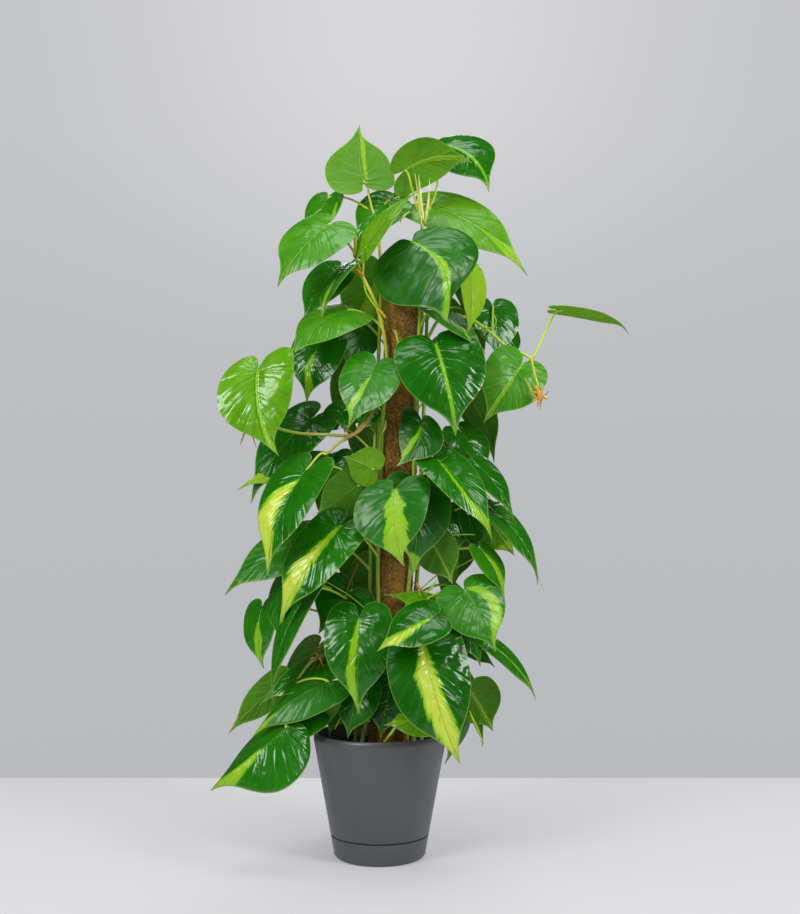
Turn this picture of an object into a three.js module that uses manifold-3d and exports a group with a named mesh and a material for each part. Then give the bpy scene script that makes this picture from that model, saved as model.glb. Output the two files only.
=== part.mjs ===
// A brasil philodendron that climbs a coir pole, in a tapered pot on a flush saucer.
// Millimetres, +Z up. The origin is the middle of the saucer's underside, and -Y is the front.
import * as THREE from 'three';
import { mergeVertices } from 'three/addons/utils/BufferGeometryUtils.js';
import Module from 'manifold-3d';

const wasm = await Module();
wasm.setup();

// Pot and saucer
const POT_HEIGHT = 154;
const RIM_RADIUS = 85;
const FOOT_RADIUS = 62.6;
const POT_WALL = 2.4;
const POT_SIDES = 26;
const RIM_TURN = 1.8;
const SAUCER_HEIGHT = 27.5;
const SAUCER_BASE_RADIUS = 55;
const SAUCER_WALL = 2.2;
const SAUCER_FLOOR = 3;
const GROOVE = 1.1;
const NEST_GAP = 0.4;
const DRAIN_RADIUS = 4.5;
const DRAIN_RING = 34;

// Soil and pole
const SOIL_TOP = 138;
const POLE_TOP = 744;
const POLE_BOTTOM = 42;
const POLE_RADIUS = 25;
const CORE_RADIUS = 12;
const CORE_BOTTOM = 9;
const FIT_GAP = 0.4;
const POLE_FOOT = 10;
const POLE_LEAN = 0.0369;

// Stems, petioles and blades
const STEM_RADIUS = 2.9;
const STEM_SIDES = 6;
const STEM_STEP = 46;
const ARM_RADIUS = 2.3;
const ROOT_HOLE_GAP = 0.6;
const PETIOLE_RADIUS = 1.9;
const PETIOLE_SIDES = 3;
const PETIOLE_STEPS = 4;
const PETIOLE_SUNK = 5;
const LOWEST_PETIOLE = 162;
const LONG_REACH = 110;
const BLADE = 0.9;
const DROOP = 0.2;
const BROAD = 94;
const SMOOTHING = 0.1;

// The heart outline of one half blade: [half widths from the midrib, lengths from the petiole, vein foot]
// A vein foot is where the vein that ends at that margin point leaves the midrib, in lengths.
const HALF_HEART = [
  [0.36, -0.17, 0.015],
  [0.9, -0.07, 0.05],
  [1.0, 0.24, 0.15],
  [0.8, 0.54, 0.4],
  [0.28, 0.79, 0.74],
];

// The front elevation is drawn as seen from this point, 1.4 m in front of the pole.
const EYE = new THREE.Vector3(26, -1400, 380);

// The main stems, each a list of true points [x, z, distance in front of the pole's plane].
const STEMS = {
  vine_front_left: [[-24, 95, 27], [-23, 139, 27], [-9, 205, 22], [-2, 400, 21], [4, 560, 21],
    [9, 630, 25], [-3, 700, 33], [-30, 760, 42], [-33, 806, 40]],
  vine_front_right: [[45, 95, 26], [44, 139, 27], [33, 205, 22], [41, 400, 22], [46, 560, 22],
    [52, 700, 22], [55, 775, 22], [55, 826, 20]],
  vine_left: [[-33, 95, 0], [-32, 139, 1], [-19, 210, 4], [-12, 400, 3], [-6, 560, 3],
    [-1, 700, 3], [0, 770, 2], [-6, 832, 0]],
  vine_right: [[55, 95, -3], [54, 139, -3], [44, 210, -6], [51, 400, -6], [57, 560, -6],
    [62, 700, -6], [64, 770, -6], [66, 850, -6]],
  vine_back_left: [[-13, 95, -34], [-12, 139, -33], [-7, 210, -25], [1, 400, -26], [7, 560, -26],
    [12, 700, -26], [14, 790, -26]],
  vine_back_right: [[37, 95, -34], [35, 139, -33], [31, 210, -26], [38, 400, -26], [44, 560, -26],
    [49, 700, -26], [52, 790, -26]],
};

// The side branches: [stem it grows from, points in the front elevation [across, up, nearness]].
const ARMS = {
  arm_left: ['vine_front_left', [[4, 610, 26], [-4, 583, 33], [-34, 540, 44], [-76, 539, 48],
    [-110, 541, 48], [-146, 550, 46]]],
  arm_fork: ['vine_front_left', [[-20, 556, 40], [-34, 540, 44], [-52, 530, 54], [-72, 512, 62]]],
  arm_right: ['vine_right', [[60, 664, -2], [86, 700, 8], [119, 694, 12], [146, 676, 14],
    [170, 655, 14], [199, 641, 14], [212, 602, 12]]],
  arm_low_left: ['vine_left', [[-19, 212, 6], [-50, 252, 18], [-82, 248, 30], [-108, 218, 38],
    [-124, 192, 44]]],
};

// The leaves in the front elevation, from the top down:
// [name, stem or branch, petiole joint, tip, width, face direction [to the right, up], [bend, fold, sweep]]
// Places are [across, up, nearness]; a face direction of [0, 0] looks at the viewer, [180, 0] away.
const LEAVES = [
  ['a1', 'vine_left', [-24, 880, 4], [-28, 962, -12], 92, [172, 12], [20, 0.2, -0.1]],
  ['a2', 'vine_front_right', [30, 897, 34], [126, 911, 52], 66, [176, 40], [30, 0.1, -0.1]],
  ['a3', 'vine_right', [85, 934, -12], [147, 869, 4], 102, [12, 30], [40, 0.15, 0.12]],
  ['a4', 'vine_right', [64, 850, -14], [199, 754, 12], 84, [14, 24], [40, 0.2, 0.02]],
  ['b1', 'vine_front_right', [42, 800, 76], [88, 689, 92], 140, [-20, 20], [36, -0.25, 0.03]],
  ['b2', 'vine_front_left', [-21, 790, 62], [49, 871, 76], 84, [-60, 25], [20, 0.25, 0]],
  ['b3', 'vine_left', [14, 857, -6], [-37, 800, 4], 74, [-14, 30], [30, 0.15, 0]],
  ['b4', 'vine_left', [-72, 860, -34], [-90, 796, -26], 58, [-30, 20], [30, 0.2, 0]],
  ['b5', 'vine_left', [24, 858, -16], [40, 884, -22], 30, [-30, 30], [20, 0.2, 0]],
  ['b6', 'vine_front_right', [118, 762, 46], [115, 668, 52], 54, [48, 10], [30, 0.3, 0]],
  ['c1', 'vine_front_left', [-70, 824, 36], [-140, 738, 50], 102, [-24, 24], [40, 0.1, 0]],
  ['c2', 'vine_front_left', [-57, 762, -4], [-104, 686, 6], 78, [-34, 20], [35, 0.2, 0]],
  ['c3', 'vine_front_left', [-45, 764, 30], [-80, 695, 44], 66, [-58, 24], [35, 0.25, 0]],
  ['c4', 'vine_front_left', [-44, 706, 30], [-124, 640, 60], 86, [-16, 40], [45, 0.1, 0]],
  ['c5', 'vine_left', [-78, 668, 4], [-99, 580, 16], 76, [-12, 16], [35, 0.2, 0]],
  ['c6', 'vine_left', [-24, 688, -6], [-46, 616, 4], 58, [24, 18], [35, 0.2, 0]],
  ['f1', 'arm_left', [-162, 628, 62], [-134, 509, 74], 100, [-8, 14], [35, 0.25, -0.1]],
  ['g1', 'vine_front_left', [-6, 633, 62], [-44, 546, 78], 84, [-14, 30], [40, 0.2, 0.05]],
  ['g2', 'vine_left', [-89, 562, 6], [-175, 448, 22], 82, [-22, 24], [40, 0.2, 0]],
  ['g4', 'vine_left', [-72, 496, 14], [-190, 468, 30], 66, [-12, 44], [30, 0.25, 0]],
  ['g5', 'vine_left', [-38, 508, 2], [-64, 452, 10], 48, [-14, 20], [30, 0.2, 0]],
  ['g6', 'vine_front_left', [-8, 492, 46], [-50, 510, 54], 54, [168, 22], [25, 0.2, 0]],
  ['g7', 'vine_front_left', [-29, 472, 34], [-88, 427, 46], 58, [146, 34], [30, 0.2, 0]],
  ['j1', 'vine_left', [-46, 572, 6], [-80, 538, 14], 46, [-14, 24], [30, 0.2, 0]],
  ['j2', 'vine_left', [-14, 572, 10], [-32, 540, 18], 36, [-10, 24], [30, 0.2, 0]],
  ['h1', 'arm_fork', [-97, 493, 66], [-150, 352, 86], 84, [-30, 22], [45, 0.25, 0]],
  ['e1', 'vine_front_right', [73, 660, 70], [101, 535, 84], 114, [6, 18], [45, 0.15, 0]],
  ['e2', 'vine_front_right', [68, 709, 44], [137, 643, 60], 74, [22, 68], [35, 0.2, 0]],
  ['k1', 'arm_right', [150, 712, -14], [156, 636, -2], 68, [18, 18], [30, 0.2, 0]],
  ['k2', 'arm_right', [188, 633, 28], [136, 554, 38], 82, [14, 22], [35, 0.2, 0]],
  ['k3', 'arm_right', [241, 706, 2], [338, 681, 8], 74, [0, 88], [15, 0.2, 0]],
  ['k4', 'vine_right', [164, 682, -24], [172, 632, -18], 46, [30, 20], [30, 0.2, 0]],
  ['l1', 'vine_front_right', [55, 556, 54], [19, 496, 66], 62, [-6, 24], [30, 0.2, 0.18]],
  ['l2', 'vine_front_right', [76, 505, 64], [149, 399, 82], 64, [24, 26], [45, 0.2, 0]],
  ['l3', 'vine_right', [105, 544, 6], [140, 478, 14], 64, [32, 20], [35, 0.2, 0]],
  ['l4', 'vine_right', [122, 504, 34], [177, 424, 44], 52, [42, 24], [35, 0.2, 0]],
  ['l5', 'vine_right', [141, 446, 22], [210, 342, 34], 50, [44, 26], [45, 0.2, 0]],
  ['l6', 'vine_right', [140, 428, -14], [176, 379, -10], 60, [172, 12], [25, 0.2, 0]],
  ['m1', 'vine_front_right', [18, 466, 78], [32, 364, 90], 94, [-6, 20], [40, 0.1, -0.1]],
  ['m2', 'vine_front_right', [48, 470, 52], [43, 353, 62], 88, [14, 16], [40, 0.2, 0]],
  ['n1', 'vine_left', [-89, 403, 24], [-206, 329, 36], 78, [-16, 36], [40, 0.15, 0]],
  ['n2', 'vine_front_left', [-52, 418, 62], [-134, 289, 78], 80, [-18, 26], [45, 0.2, 0]],
  ['n3', 'vine_left', [-154, 312, -2], [-152, 232, 8], 66, [-44, 16], [35, 0.2, 0]],
  ['n4', 'vine_left', [-129, 345, 30], [-129, 265, 38], 56, [-58, 14], [35, 0.2, 0]],
  ['n6', 'vine_left', [-90, 337, 50], [-142, 188, 62], 50, [-54, 16], [40, 0.2, 0]],
  ['q1', 'vine_left', [-37, 335, 16], [-81, 278, 28], 80, [-8, 24], [35, 0.2, 0]],
  ['r1', 'vine_front_left', [-27, 300, 64], [-28, 174, 78], 86, [-6, 16], [40, 0.2, 0]],
  ['r2', 'vine_front_right', [70, 301, 108], [-5, 256, 116], 66, [-8, 44], [35, 0.15, 0]],
  ['r3', 'vine_front_right', [57, 264, 88], [105, 110, 102], 102, [10, 16], [45, 0.15, -0.06]],
  ['s1', 'vine_front_right', [110, 335, 58], [150, 255, 68], 88, [12, 26], [40, 0.15, 0]],
  ['s3', 'vine_front_right', [132, 387, 34], [163, 322, 42], 50, [48, 20], [30, 0.2, 0]],
  ['t1', 'vine_front_right', [66, 399, 44], [95, 342, 50], 58, [170, 20], [30, 0.2, 0]],
  ['t2', 'vine_right', [86, 438, 12], [102, 376, 18], 56, [22, 16], [30, 0.2, 0]],
  ['t3', 'vine_right', [116, 428, 2], [126, 380, 6], 42, [40, 16], [30, 0.2, 0]],
  ['u1', 'vine_front_right', [88, 308, 34], [4, 330, 46], 42, [-4, 52], [25, 0.15, 0]],
  ['v1', 'vine_right', [100, 304, 20], [131, 236, 28], 58, [36, 18], [30, 0.2, 0]],
  ['v3', 'vine_right', [139, 268, 10], [204, 194, 18], 42, [54, 28], [35, 0.2, 0]],
  ['v4', 'vine_right', [110, 262, -12], [150, 236, -8], 30, [40, 30], [25, 0.2, 0]],
  ['w1', 'vine_right', [116, 206, -14], [146, 154, -8], 70, [172, 12], [30, 0.2, 0]],
  ['w3', 'vine_back_right', [104, 188, -46], [84, 112, -54], 42, [40, 10], [30, 0.2, 0]],
  ['x1', 'vine_front_right', [64, 168, 54], [4, 162, 60], 46, [-8, 42], [20, 0.15, 0]],
  ['x3', 'vine_front_right', [15, 214, 38], [0, 144, 46], 62, [-10, 16], [25, 0.2, 0]],
  ['x4', 'vine_front_left', [-24, 212, 38], [-42, 144, 48], 60, [-20, 16], [25, 0.2, 0]],
  ['x5', 'vine_left', [-48, 206, 18], [-66, 148, 30], 46, [-24, 18], [25, 0.2, 0]],
  ['y1', 'arm_low_left', [-119, 160, 74], [-222, 80, 84], 98, [-10, 50], [40, -0.35, 0.1]],
  ['y2', 'arm_low_left', [-64, 218, 50], [-167, 146, 66], 60, [-10, 50], [40, -0.2, 0]],
  ['y3', 'arm_low_left', [-86, 176, 42], [-168, 122, 52], 56, [-12, 44], [30, 0.2, 0]],
  ['y5', 'arm_low_left', [-64, 241, 26], [-159, 186, 38], 48, [-12, 46], [35, 0.1, 0]],
  ['y4', 'arm_low_left', [-126, 219, 16], [-198, 150, 24], 42, [150, 34], [30, 0.2, 0]],
  ['y6', 'arm_low_left', [-72, 196, 44], [-128, 128, 54], 50, [166, 30], [30, 0.2, 0]],
];

// The far side of the plant, which the elevation doesn't show, follows a rule.
const BACK_LEAVES = 23;
const BACK_FIRST = 206;
const BACK_STEP = 27;
const BACK_TURNS = [26, -54, 66, -22, 46, -70, 8];
const BACK_REACH = 66;
const BACK_SEED = 656;

const up = new THREE.Vector3(0, 0, 1);
const poleX = (z) => POLE_FOOT + (z - SOIL_TOP) * POLE_LEAN;

// A point of the front elevation, carried along its line of sight to its own depth
function seen([across, height, near]) {
  const flat = new THREE.Vector3(across, 0, height);
  return EYE.clone().lerp(flat, (-near - EYE.y) / -EYE.y);
}

// A small seeded generator of numbers from 0 to 1
function seeded(seed) {
  let state = seed;
  return () => {
    state = (state * 16807) % 2147483647;
    return state / 2147483647;
  };
}

function geometryOf(points, triangles) {
  const geometry = new THREE.BufferGeometry();
  geometry.setAttribute('position', new THREE.Float32BufferAttribute(points, 3));
  geometry.setIndex(triangles);
  return geometry;
}

function solidOf(geometry) {
  const bare = geometry.clone();
  bare.deleteAttribute('normal');
  bare.deleteAttribute('uv');
  const merged = mergeVertices(bare, 1e-4);
  return new wasm.Manifold(new wasm.Mesh({
    numProp: 3,
    vertProperties: Float32Array.from(merged.attributes.position.array),
    triVerts: Uint32Array.from(merged.index.array),
  }));
}

function geometryFrom(solid) {
  const mesh = solid.getMesh();
  return geometryOf(Array.from(mesh.vertProperties), Array.from(mesh.triVerts));
}

// A solid of revolution about Z from its closed outline of [radius, height] points
function turned(outline, sides) {
  const profile = [...outline, outline[0]].map(([r, z]) => new THREE.Vector2(r, z));
  return new THREE.LatheGeometry(profile, sides).rotateX(Math.PI / 2);
}

// A closed tube: rings of points round a row of centres, with a point at the middle of each end
function tube(centres, radii, sides) {
  const points = [];
  const triangles = [];
  let side = new THREE.Vector3();
  centres.forEach((centre, i) => {
    const before = centres[Math.max(i - 1, 0)];
    const after = centres[Math.min(i + 1, centres.length - 1)];
    const along = after.clone().sub(before).normalize();
    if (i === 0) side = Math.abs(along.z) > 0.9 ? new THREE.Vector3(1, 0, 0) : up.clone();
    side.addScaledVector(along, -side.dot(along)).normalize();
    const other = along.clone().cross(side);
    for (let k = 0; k < sides; k += 1) {
      const angle = (2 * Math.PI * k) / sides;
      const p = centre.clone();
      p.addScaledVector(side, radii[i] * Math.cos(angle));
      p.addScaledVector(other, radii[i] * Math.sin(angle));
      points.push(p.x, p.y, p.z);
    }
  });
  const last = centres.length - 1;
  for (let i = 0; i < last; i += 1) {
    for (let k = 0; k < sides; k += 1) {
      const a = i * sides + k;
      const b = i * sides + ((k + 1) % sides);
      triangles.push(a, b, b + sides, a, b + sides, a + sides);
    }
  }
  for (let k = 1; k < sides - 1; k += 1) {
    triangles.push(0, k + 1, k);
    triangles.push(last * sides, last * sides + k, last * sides + k + 1);
  }
  return geometryOf(points, triangles);
}

// The directions of a blade: along its chord, out of its upper face and across it
function bladeAxes(leaf) {
  const chord = leaf.tip.clone().sub(leaf.base);
  const length = chord.length();
  const along = chord.divideScalar(length);
  const face = leaf.face.clone().addScaledVector(along, -leaf.face.dot(along)).normalize();
  return { length, along, face, across: face.clone().cross(along) };
}

// A heart-shaped blade: veins from the midrib to the margin, folded along the midrib, its outer
// half drooping, and bent into an arc from the petiole joint to the tip
function blade(leaf) {
  const { length, along, face, across } = bladeAxes(leaf);
  const bend = THREE.MathUtils.degToRad(leaf.bend);
  const radius = length / (2 * Math.sin(bend / 2));
  const half = leaf.wide / 2;
  const columns = leaf.wide > BROAD ? [-1, -0.5, 0, 0.5, 1] : [-1, 0, 1];

  function place(x, y, rise) {
    const turn = (y - 0.5) * bend;
    const out = radius * (Math.cos(turn) - Math.cos(bend / 2)) + rise * Math.cos(turn);
    const forward = radius * (Math.sin(turn) + Math.sin(bend / 2)) + rise * Math.sin(turn);
    const p = leaf.base.clone();
    return p.addScaledVector(along, forward).addScaledVector(face, out).addScaledVector(across, x);
  }

  const points = [];
  for (const skin of [BLADE / 2, -BLADE / 2]) {
    points.push(place(0, 0, skin));
    for (const [wide, reach, foot] of HALF_HEART) {
      for (const t of columns) {
        const size = Math.abs(t);
        const rise = half * wide * (leaf.fold * size - DROOP * size * size);
        const y = foot + (reach - foot) * size ** 1.3;
        const aside = leaf.sweep * length * 4 * y * (1 - y);
        points.push(place(half * wide * t + aside, y, rise + skin));
      }
    }
    points.push(place(0, 1, skin));
  }

  const n = columns.length;
  const rows = HALF_HEART.length;
  const face0 = rows * n + 2;
  const at = (row, column) => 1 + row * n + column;
  const triangles = [];
  const both = (a, b, c) => triangles.push(a, b, c, face0 + a, face0 + c, face0 + b);
  for (let j = 0; j < n - 1; j += 1) {
    both(0, at(0, j), at(0, j + 1));
    for (let i = 0; i < rows - 1; i += 1) {
      if (j < (n - 1) / 2) {
        both(at(i, j), at(i + 1, j), at(i + 1, j + 1));
        both(at(i, j), at(i + 1, j + 1), at(i, j + 1));
      } else {
        both(at(i, j), at(i + 1, j), at(i, j + 1));
        both(at(i, j + 1), at(i + 1, j), at(i + 1, j + 1));
      }
    }
    both(at(rows - 1, j), face0 - 1, at(rows - 1, j + 1));
  }
  const left = [0, ...HALF_HEART.map((_, i) => at(i, 0)), face0 - 1];
  const right = [0, ...HALF_HEART.map((_, i) => at(i, n - 1)), face0 - 1];
  for (let i = 0; i < rows + 1; i += 1) {
    triangles.push(left[i], face0 + left[i], left[i + 1]);
    triangles.push(left[i + 1], face0 + left[i], face0 + left[i + 1]);
    triangles.push(right[i], right[i + 1], face0 + right[i]);
    triangles.push(right[i + 1], face0 + right[i + 1], face0 + right[i]);
  }
  return geometryOf(points.flatMap((p) => [p.x, p.y, p.z]), triangles);
}

// A petiole leaves its stem a little below the leaf, rises outwards and turns over into the blade
function petiole(leaf, stem) {
  const reach = Math.hypot(leaf.base.x - poleX(leaf.base.z), leaf.base.y);
  const wanted = leaf.base.clone().addScaledVector(up, -0.4 * Math.min(reach, LONG_REACH));
  wanted.z = Math.max(wanted.z, LOWEST_PETIOLE);
  const root = stem.reduce((best, p) => (p.distanceTo(wanted) < best.distanceTo(wanted) ? p : best));
  const span = leaf.base.distanceTo(root);
  const { along, face } = bladeAxes(leaf);
  const rise = THREE.MathUtils.degToRad(leaf.bend / 2);
  const out = leaf.base.clone().sub(root).setZ(0).normalize();
  const sunk = leaf.base.clone().addScaledVector(along, PETIOLE_SUNK * Math.cos(rise));
  sunk.addScaledVector(face, PETIOLE_SUNK * Math.sin(rise) + BLADE);
  const curve = new THREE.CubicBezierCurve3(
    root,
    root.clone().addScaledVector(out, 0.22 * span).addScaledVector(up, 0.3 * span),
    leaf.base.clone().addScaledVector(up, 0.1 * span).addScaledVector(out, -0.16 * span),
    sunk,
  );
  const centres = curve.getPoints(PETIOLE_STEPS);
  return tube(centres, centres.map(() => PETIOLE_RADIUS), PETIOLE_SIDES);
}

function stemCentres(points, step) {
  const curve = new THREE.CatmullRomCurve3(points, false, 'centripetal');
  return curve.getSpacedPoints(Math.max(4, Math.round(curve.getLength() / step)));
}

function readLeaf([name, on, base, tip, wide, [right, rise], [bend, fold, sweep]]) {
  const azimuth = THREE.MathUtils.degToRad(right);
  const height = THREE.MathUtils.degToRad(rise);
  const face = new THREE.Vector3(
    Math.sin(azimuth) * Math.cos(height),
    -Math.cos(azimuth) * Math.cos(height),
    Math.sin(height),
  );
  return { name, on, base: seen(base), tip: seen(tip), wide, face, bend, fold, sweep };
}

// Leaves of the far side, turn by turn up the pole, each facing away from it
function backLeaves() {
  const random = seeded(BACK_SEED);
  const spread = (size) => size * (random() - 0.5);
  const leaves = [];
  for (let i = 0; i < BACK_LEAVES; i += 1) {
    const azimuth = THREE.MathUtils.degToRad(180 + BACK_TURNS[i % BACK_TURNS.length] + spread(14));
    const z = BACK_FIRST + i * BACK_STEP;
    const out = new THREE.Vector3(Math.sin(azimuth), -Math.cos(azimuth), 0);
    const side = new THREE.Vector3(Math.cos(azimuth), Math.sin(azimuth), 0);
    const base = new THREE.Vector3(poleX(z), 0, z).addScaledVector(out, BACK_REACH + 48 * random());
    const tip = base.clone().addScaledVector(out, 14 + 26 * random()).addScaledVector(side, spread(80));
    tip.z -= 78 + 40 * random();
    const wide = 64 + 32 * random();
    const face = out.clone().addScaledVector(side, spread(0.9)).setZ(0.25 + 0.3 * random()).normalize();
    const on = azimuth > Math.PI ? 'vine_back_left' : 'vine_back_right';
    const bend = 30 + 24 * random();
    leaves.push({ name: `back_${i + 1}`, on, base, tip, wide, face, bend, fold: 0.2, sweep: 0 });
  }
  return leaves;
}

// Pot and saucer outlines
const lean = (RIM_RADIUS - FOOT_RADIUS) / (POT_HEIGHT - 8 - SAUCER_HEIGHT);
const wallRadius = (z) => FOOT_RADIUS + lean * (z - SAUCER_HEIGHT);
const cupRadius = wallRadius(SAUCER_HEIGHT) - SAUCER_WALL;
const potBase = SAUCER_FLOOR + FIT_GAP;
const shoulder = SAUCER_HEIGHT + GROOVE;
const stepRadius = cupRadius - NEST_GAP - 1.4;

const saucerOutline = [
  [0, 0], [SAUCER_BASE_RADIUS, 0], [SAUCER_BASE_RADIUS + 1.7, 1.2], [SAUCER_BASE_RADIUS + 2.6, 4],
  [wallRadius(9), 9], [wallRadius(SAUCER_HEIGHT - 0.6), SAUCER_HEIGHT - 0.6],
  [wallRadius(SAUCER_HEIGHT) - 0.6, SAUCER_HEIGHT], [cupRadius, SAUCER_HEIGHT],
  [cupRadius - 2, SAUCER_FLOOR], [0, SAUCER_FLOOR],
];

const potOutline = [
  [0, potBase], [stepRadius - 3, potBase], [stepRadius, shoulder - 2.4], [cupRadius - NEST_GAP, shoulder],
  [wallRadius(shoulder), shoulder], [wallRadius(POT_HEIGHT - 8), POT_HEIGHT - 8],
  [RIM_RADIUS, POT_HEIGHT - 3.4], [RIM_RADIUS - RIM_TURN, POT_HEIGHT],
  [RIM_RADIUS - RIM_TURN - 2, POT_HEIGHT], [RIM_RADIUS - RIM_TURN - 2.4, POT_HEIGHT - 3],
  [wallRadius(shoulder) - POT_WALL - 1.4, shoulder + 1], [stepRadius - POT_WALL - 3, potBase + 3],
  [0, potBase + 3],
];

function poleTube(radius, low, high, sides) {
  const ends = [low, high].map((z) => new THREE.Vector3(poleX(z), 0, z));
  return tube(ends, [radius, radius], sides);
}

function buildPot() {
  let pot = solidOf(turned(potOutline, POT_SIDES));
  for (let i = 0; i < 4; i += 1) {
    const angle = (Math.PI / 2) * (i + 0.5);
    const x = DRAIN_RING * Math.cos(angle);
    const y = DRAIN_RING * Math.sin(angle);
    const ends = [new THREE.Vector3(x, y, potBase - 2), new THREE.Vector3(x, y, potBase + 6)];
    pot = pot.subtract(solidOf(tube(ends, [DRAIN_RADIUS, DRAIN_RADIUS], 10)));
  }
  return geometryFrom(pot);
}

// The soil fills the pot, a little hollowed round the pole, with a plain hole for each thing in it
function buildSoil(stems) {
  const inside = (z) => wallRadius(z) - POT_WALL - 1.4 - FIT_GAP;
  const outline = [
    [0, potBase + 3 + FIT_GAP], [stepRadius - POT_WALL - 3.6, potBase + 3 + FIT_GAP],
    [wallRadius(shoulder) - POT_WALL - 1.8, shoulder + 2], [inside(SOIL_TOP - 3) - 0.8, SOIL_TOP - 3],
    [inside(SOIL_TOP) - 6, SOIL_TOP], [0, SOIL_TOP + 1],
  ];
  let soil = solidOf(turned(outline, POT_SIDES));
  soil = soil.subtract(solidOf(poleTube(POLE_RADIUS + FIT_GAP, POLE_BOTTOM - FIT_GAP, SOIL_TOP + 20, 20)));
  soil = soil.subtract(solidOf(poleTube(CORE_RADIUS + FIT_GAP, CORE_BOTTOM - FIT_GAP, SOIL_TOP + 20, 12)));
  for (const centres of Object.values(stems)) {
    const buried = centres.filter((p) => p.z < SOIL_TOP + 40);
    const hole = [buried[0].clone().setZ(buried[0].z - ROOT_HOLE_GAP), ...buried.slice(1)];
    soil = soil.subtract(solidOf(tube(hole, hole.map(() => STEM_RADIUS + ROOT_HOLE_GAP), STEM_SIDES)));
  }
  return geometryFrom(soil);
}

function buildVine(name, stems, leaves) {
  const centres = stems[name];
  const thin = centres.map((_, i) => STEM_RADIUS * (i > centres.length - 3 ? 0.75 : 1));
  const pieces = [solidOf(tube(centres, thin, STEM_SIDES))];
  const grown = { [name]: centres };
  for (const [arm, [parent, route]] of Object.entries(ARMS)) {
    if (parent !== name) continue;
    const points = stemCentres(route.map(seen), STEM_STEP * 0.6);
    grown[arm] = points;
    pieces.push(solidOf(tube(points, points.map(() => ARM_RADIUS), STEM_SIDES)));
  }
  for (const leaf of leaves) {
    if (!grown[leaf.on]) continue;
    pieces.push(solidOf(blade(leaf)), solidOf(petiole(leaf, grown[leaf.on])));
  }
  const whole = pieces.reduce((sum, piece) => sum.add(piece));
  return geometryFrom(whole.asOriginal().simplify(SMOOTHING));
}

const plastic = { color: 0x4a5054, roughness: 0.45, metalness: 0 };
const finishes = {
  saucer: plastic,
  pot: plastic,
  soil: { color: 0x2c2119, roughness: 1, metalness: 0 },
  pole_core: { color: 0x9c7a4e, roughness: 0.8, metalness: 0 },
  coir_sleeve: { color: 0x7a4f22, roughness: 1, metalness: 0 },
  vine: { color: 0x2f8a00, roughness: 0.35, metalness: 0 },
};

const plant = new THREE.Group();

function addPart(name, geometry, finish) {
  const mesh = new THREE.Mesh(geometry, new THREE.MeshStandardMaterial(finish));
  mesh.name = name;
  plant.add(mesh);
}

const stems = {};
for (const [name, route] of Object.entries(STEMS)) {
  stems[name] = stemCentres(route.map(([x, z, near]) => new THREE.Vector3(x, -near, z)), STEM_STEP);
}
const leaves = [...LEAVES.map(readLeaf), ...backLeaves()];

addPart('saucer', turned(saucerOutline, POT_SIDES), finishes.saucer);
addPart('pot', buildPot(), finishes.pot);
addPart('soil', buildSoil(stems), finishes.soil);
addPart('pole_core', poleTube(CORE_RADIUS, CORE_BOTTOM, POLE_TOP, 12), finishes.pole_core);
const sleeve = solidOf(poleTube(POLE_RADIUS, POLE_BOTTOM, POLE_TOP - 2, 20));
const bore = solidOf(poleTube(CORE_RADIUS + FIT_GAP, POLE_BOTTOM - 5, POLE_TOP + 5, 12));
addPart('coir_sleeve', geometryFrom(sleeve.subtract(bore)), finishes.coir_sleeve);
for (const name of Object.keys(STEMS)) {
  addPart(name, buildVine(name, stems, leaves), finishes.vine);
}

export default plant;
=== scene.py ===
import collections
import functools
import math

import bpy
import numpy as np
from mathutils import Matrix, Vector


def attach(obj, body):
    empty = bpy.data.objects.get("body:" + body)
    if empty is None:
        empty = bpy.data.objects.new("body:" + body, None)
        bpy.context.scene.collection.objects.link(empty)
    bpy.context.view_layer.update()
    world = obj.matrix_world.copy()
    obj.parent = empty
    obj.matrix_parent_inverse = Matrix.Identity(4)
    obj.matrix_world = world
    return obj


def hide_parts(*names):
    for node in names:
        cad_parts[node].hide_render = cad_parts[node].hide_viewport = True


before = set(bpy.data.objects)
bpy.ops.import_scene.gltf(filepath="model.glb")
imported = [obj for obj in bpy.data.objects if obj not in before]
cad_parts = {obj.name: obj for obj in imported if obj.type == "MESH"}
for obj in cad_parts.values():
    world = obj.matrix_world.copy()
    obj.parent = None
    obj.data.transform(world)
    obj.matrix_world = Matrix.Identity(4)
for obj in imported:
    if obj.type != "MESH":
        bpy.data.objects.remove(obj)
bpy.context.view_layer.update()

bl_info = {
    "name": "Potted brasil philodendron",
    "version": (1, 0, 0),
    "blender": (4, 5, 0),
    "location": "View3D > Sidebar > Plant",
    "description": "Leaves, stems, coir pole, soil and pot over the packed frame, and a plain studio",
    "category": "Add Mesh",
}

# Metres in a millimetre
MM = 0.001
# A whole turn in radians, for random angles and for waves
TURN = 6.28


def linear(text):
    """Linear red, green and blue of an sRGB hex value."""
    srgb = np.array([int(text[i:i + 2], 16) for i in (1, 3, 5)]) / 255
    return tuple(float(v) for v in np.where(srgb < 0.04045, srgb / 12.92, ((srgb + 0.055) / 1.055) ** 2.4))


# Sizes and colours that can be changed

def metres(name, description, value):
    """A length in metres that the sidebar shows."""
    return bpy.props.FloatProperty(name=name, description=description, default=value, unit="LENGTH")


def swatch(name, description, value):
    """A colour that the sidebar shows, from its sRGB hex value."""
    return bpy.props.FloatVectorProperty(
        name=name, description=description, default=linear(value), size=3, subtype="COLOR")


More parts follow.
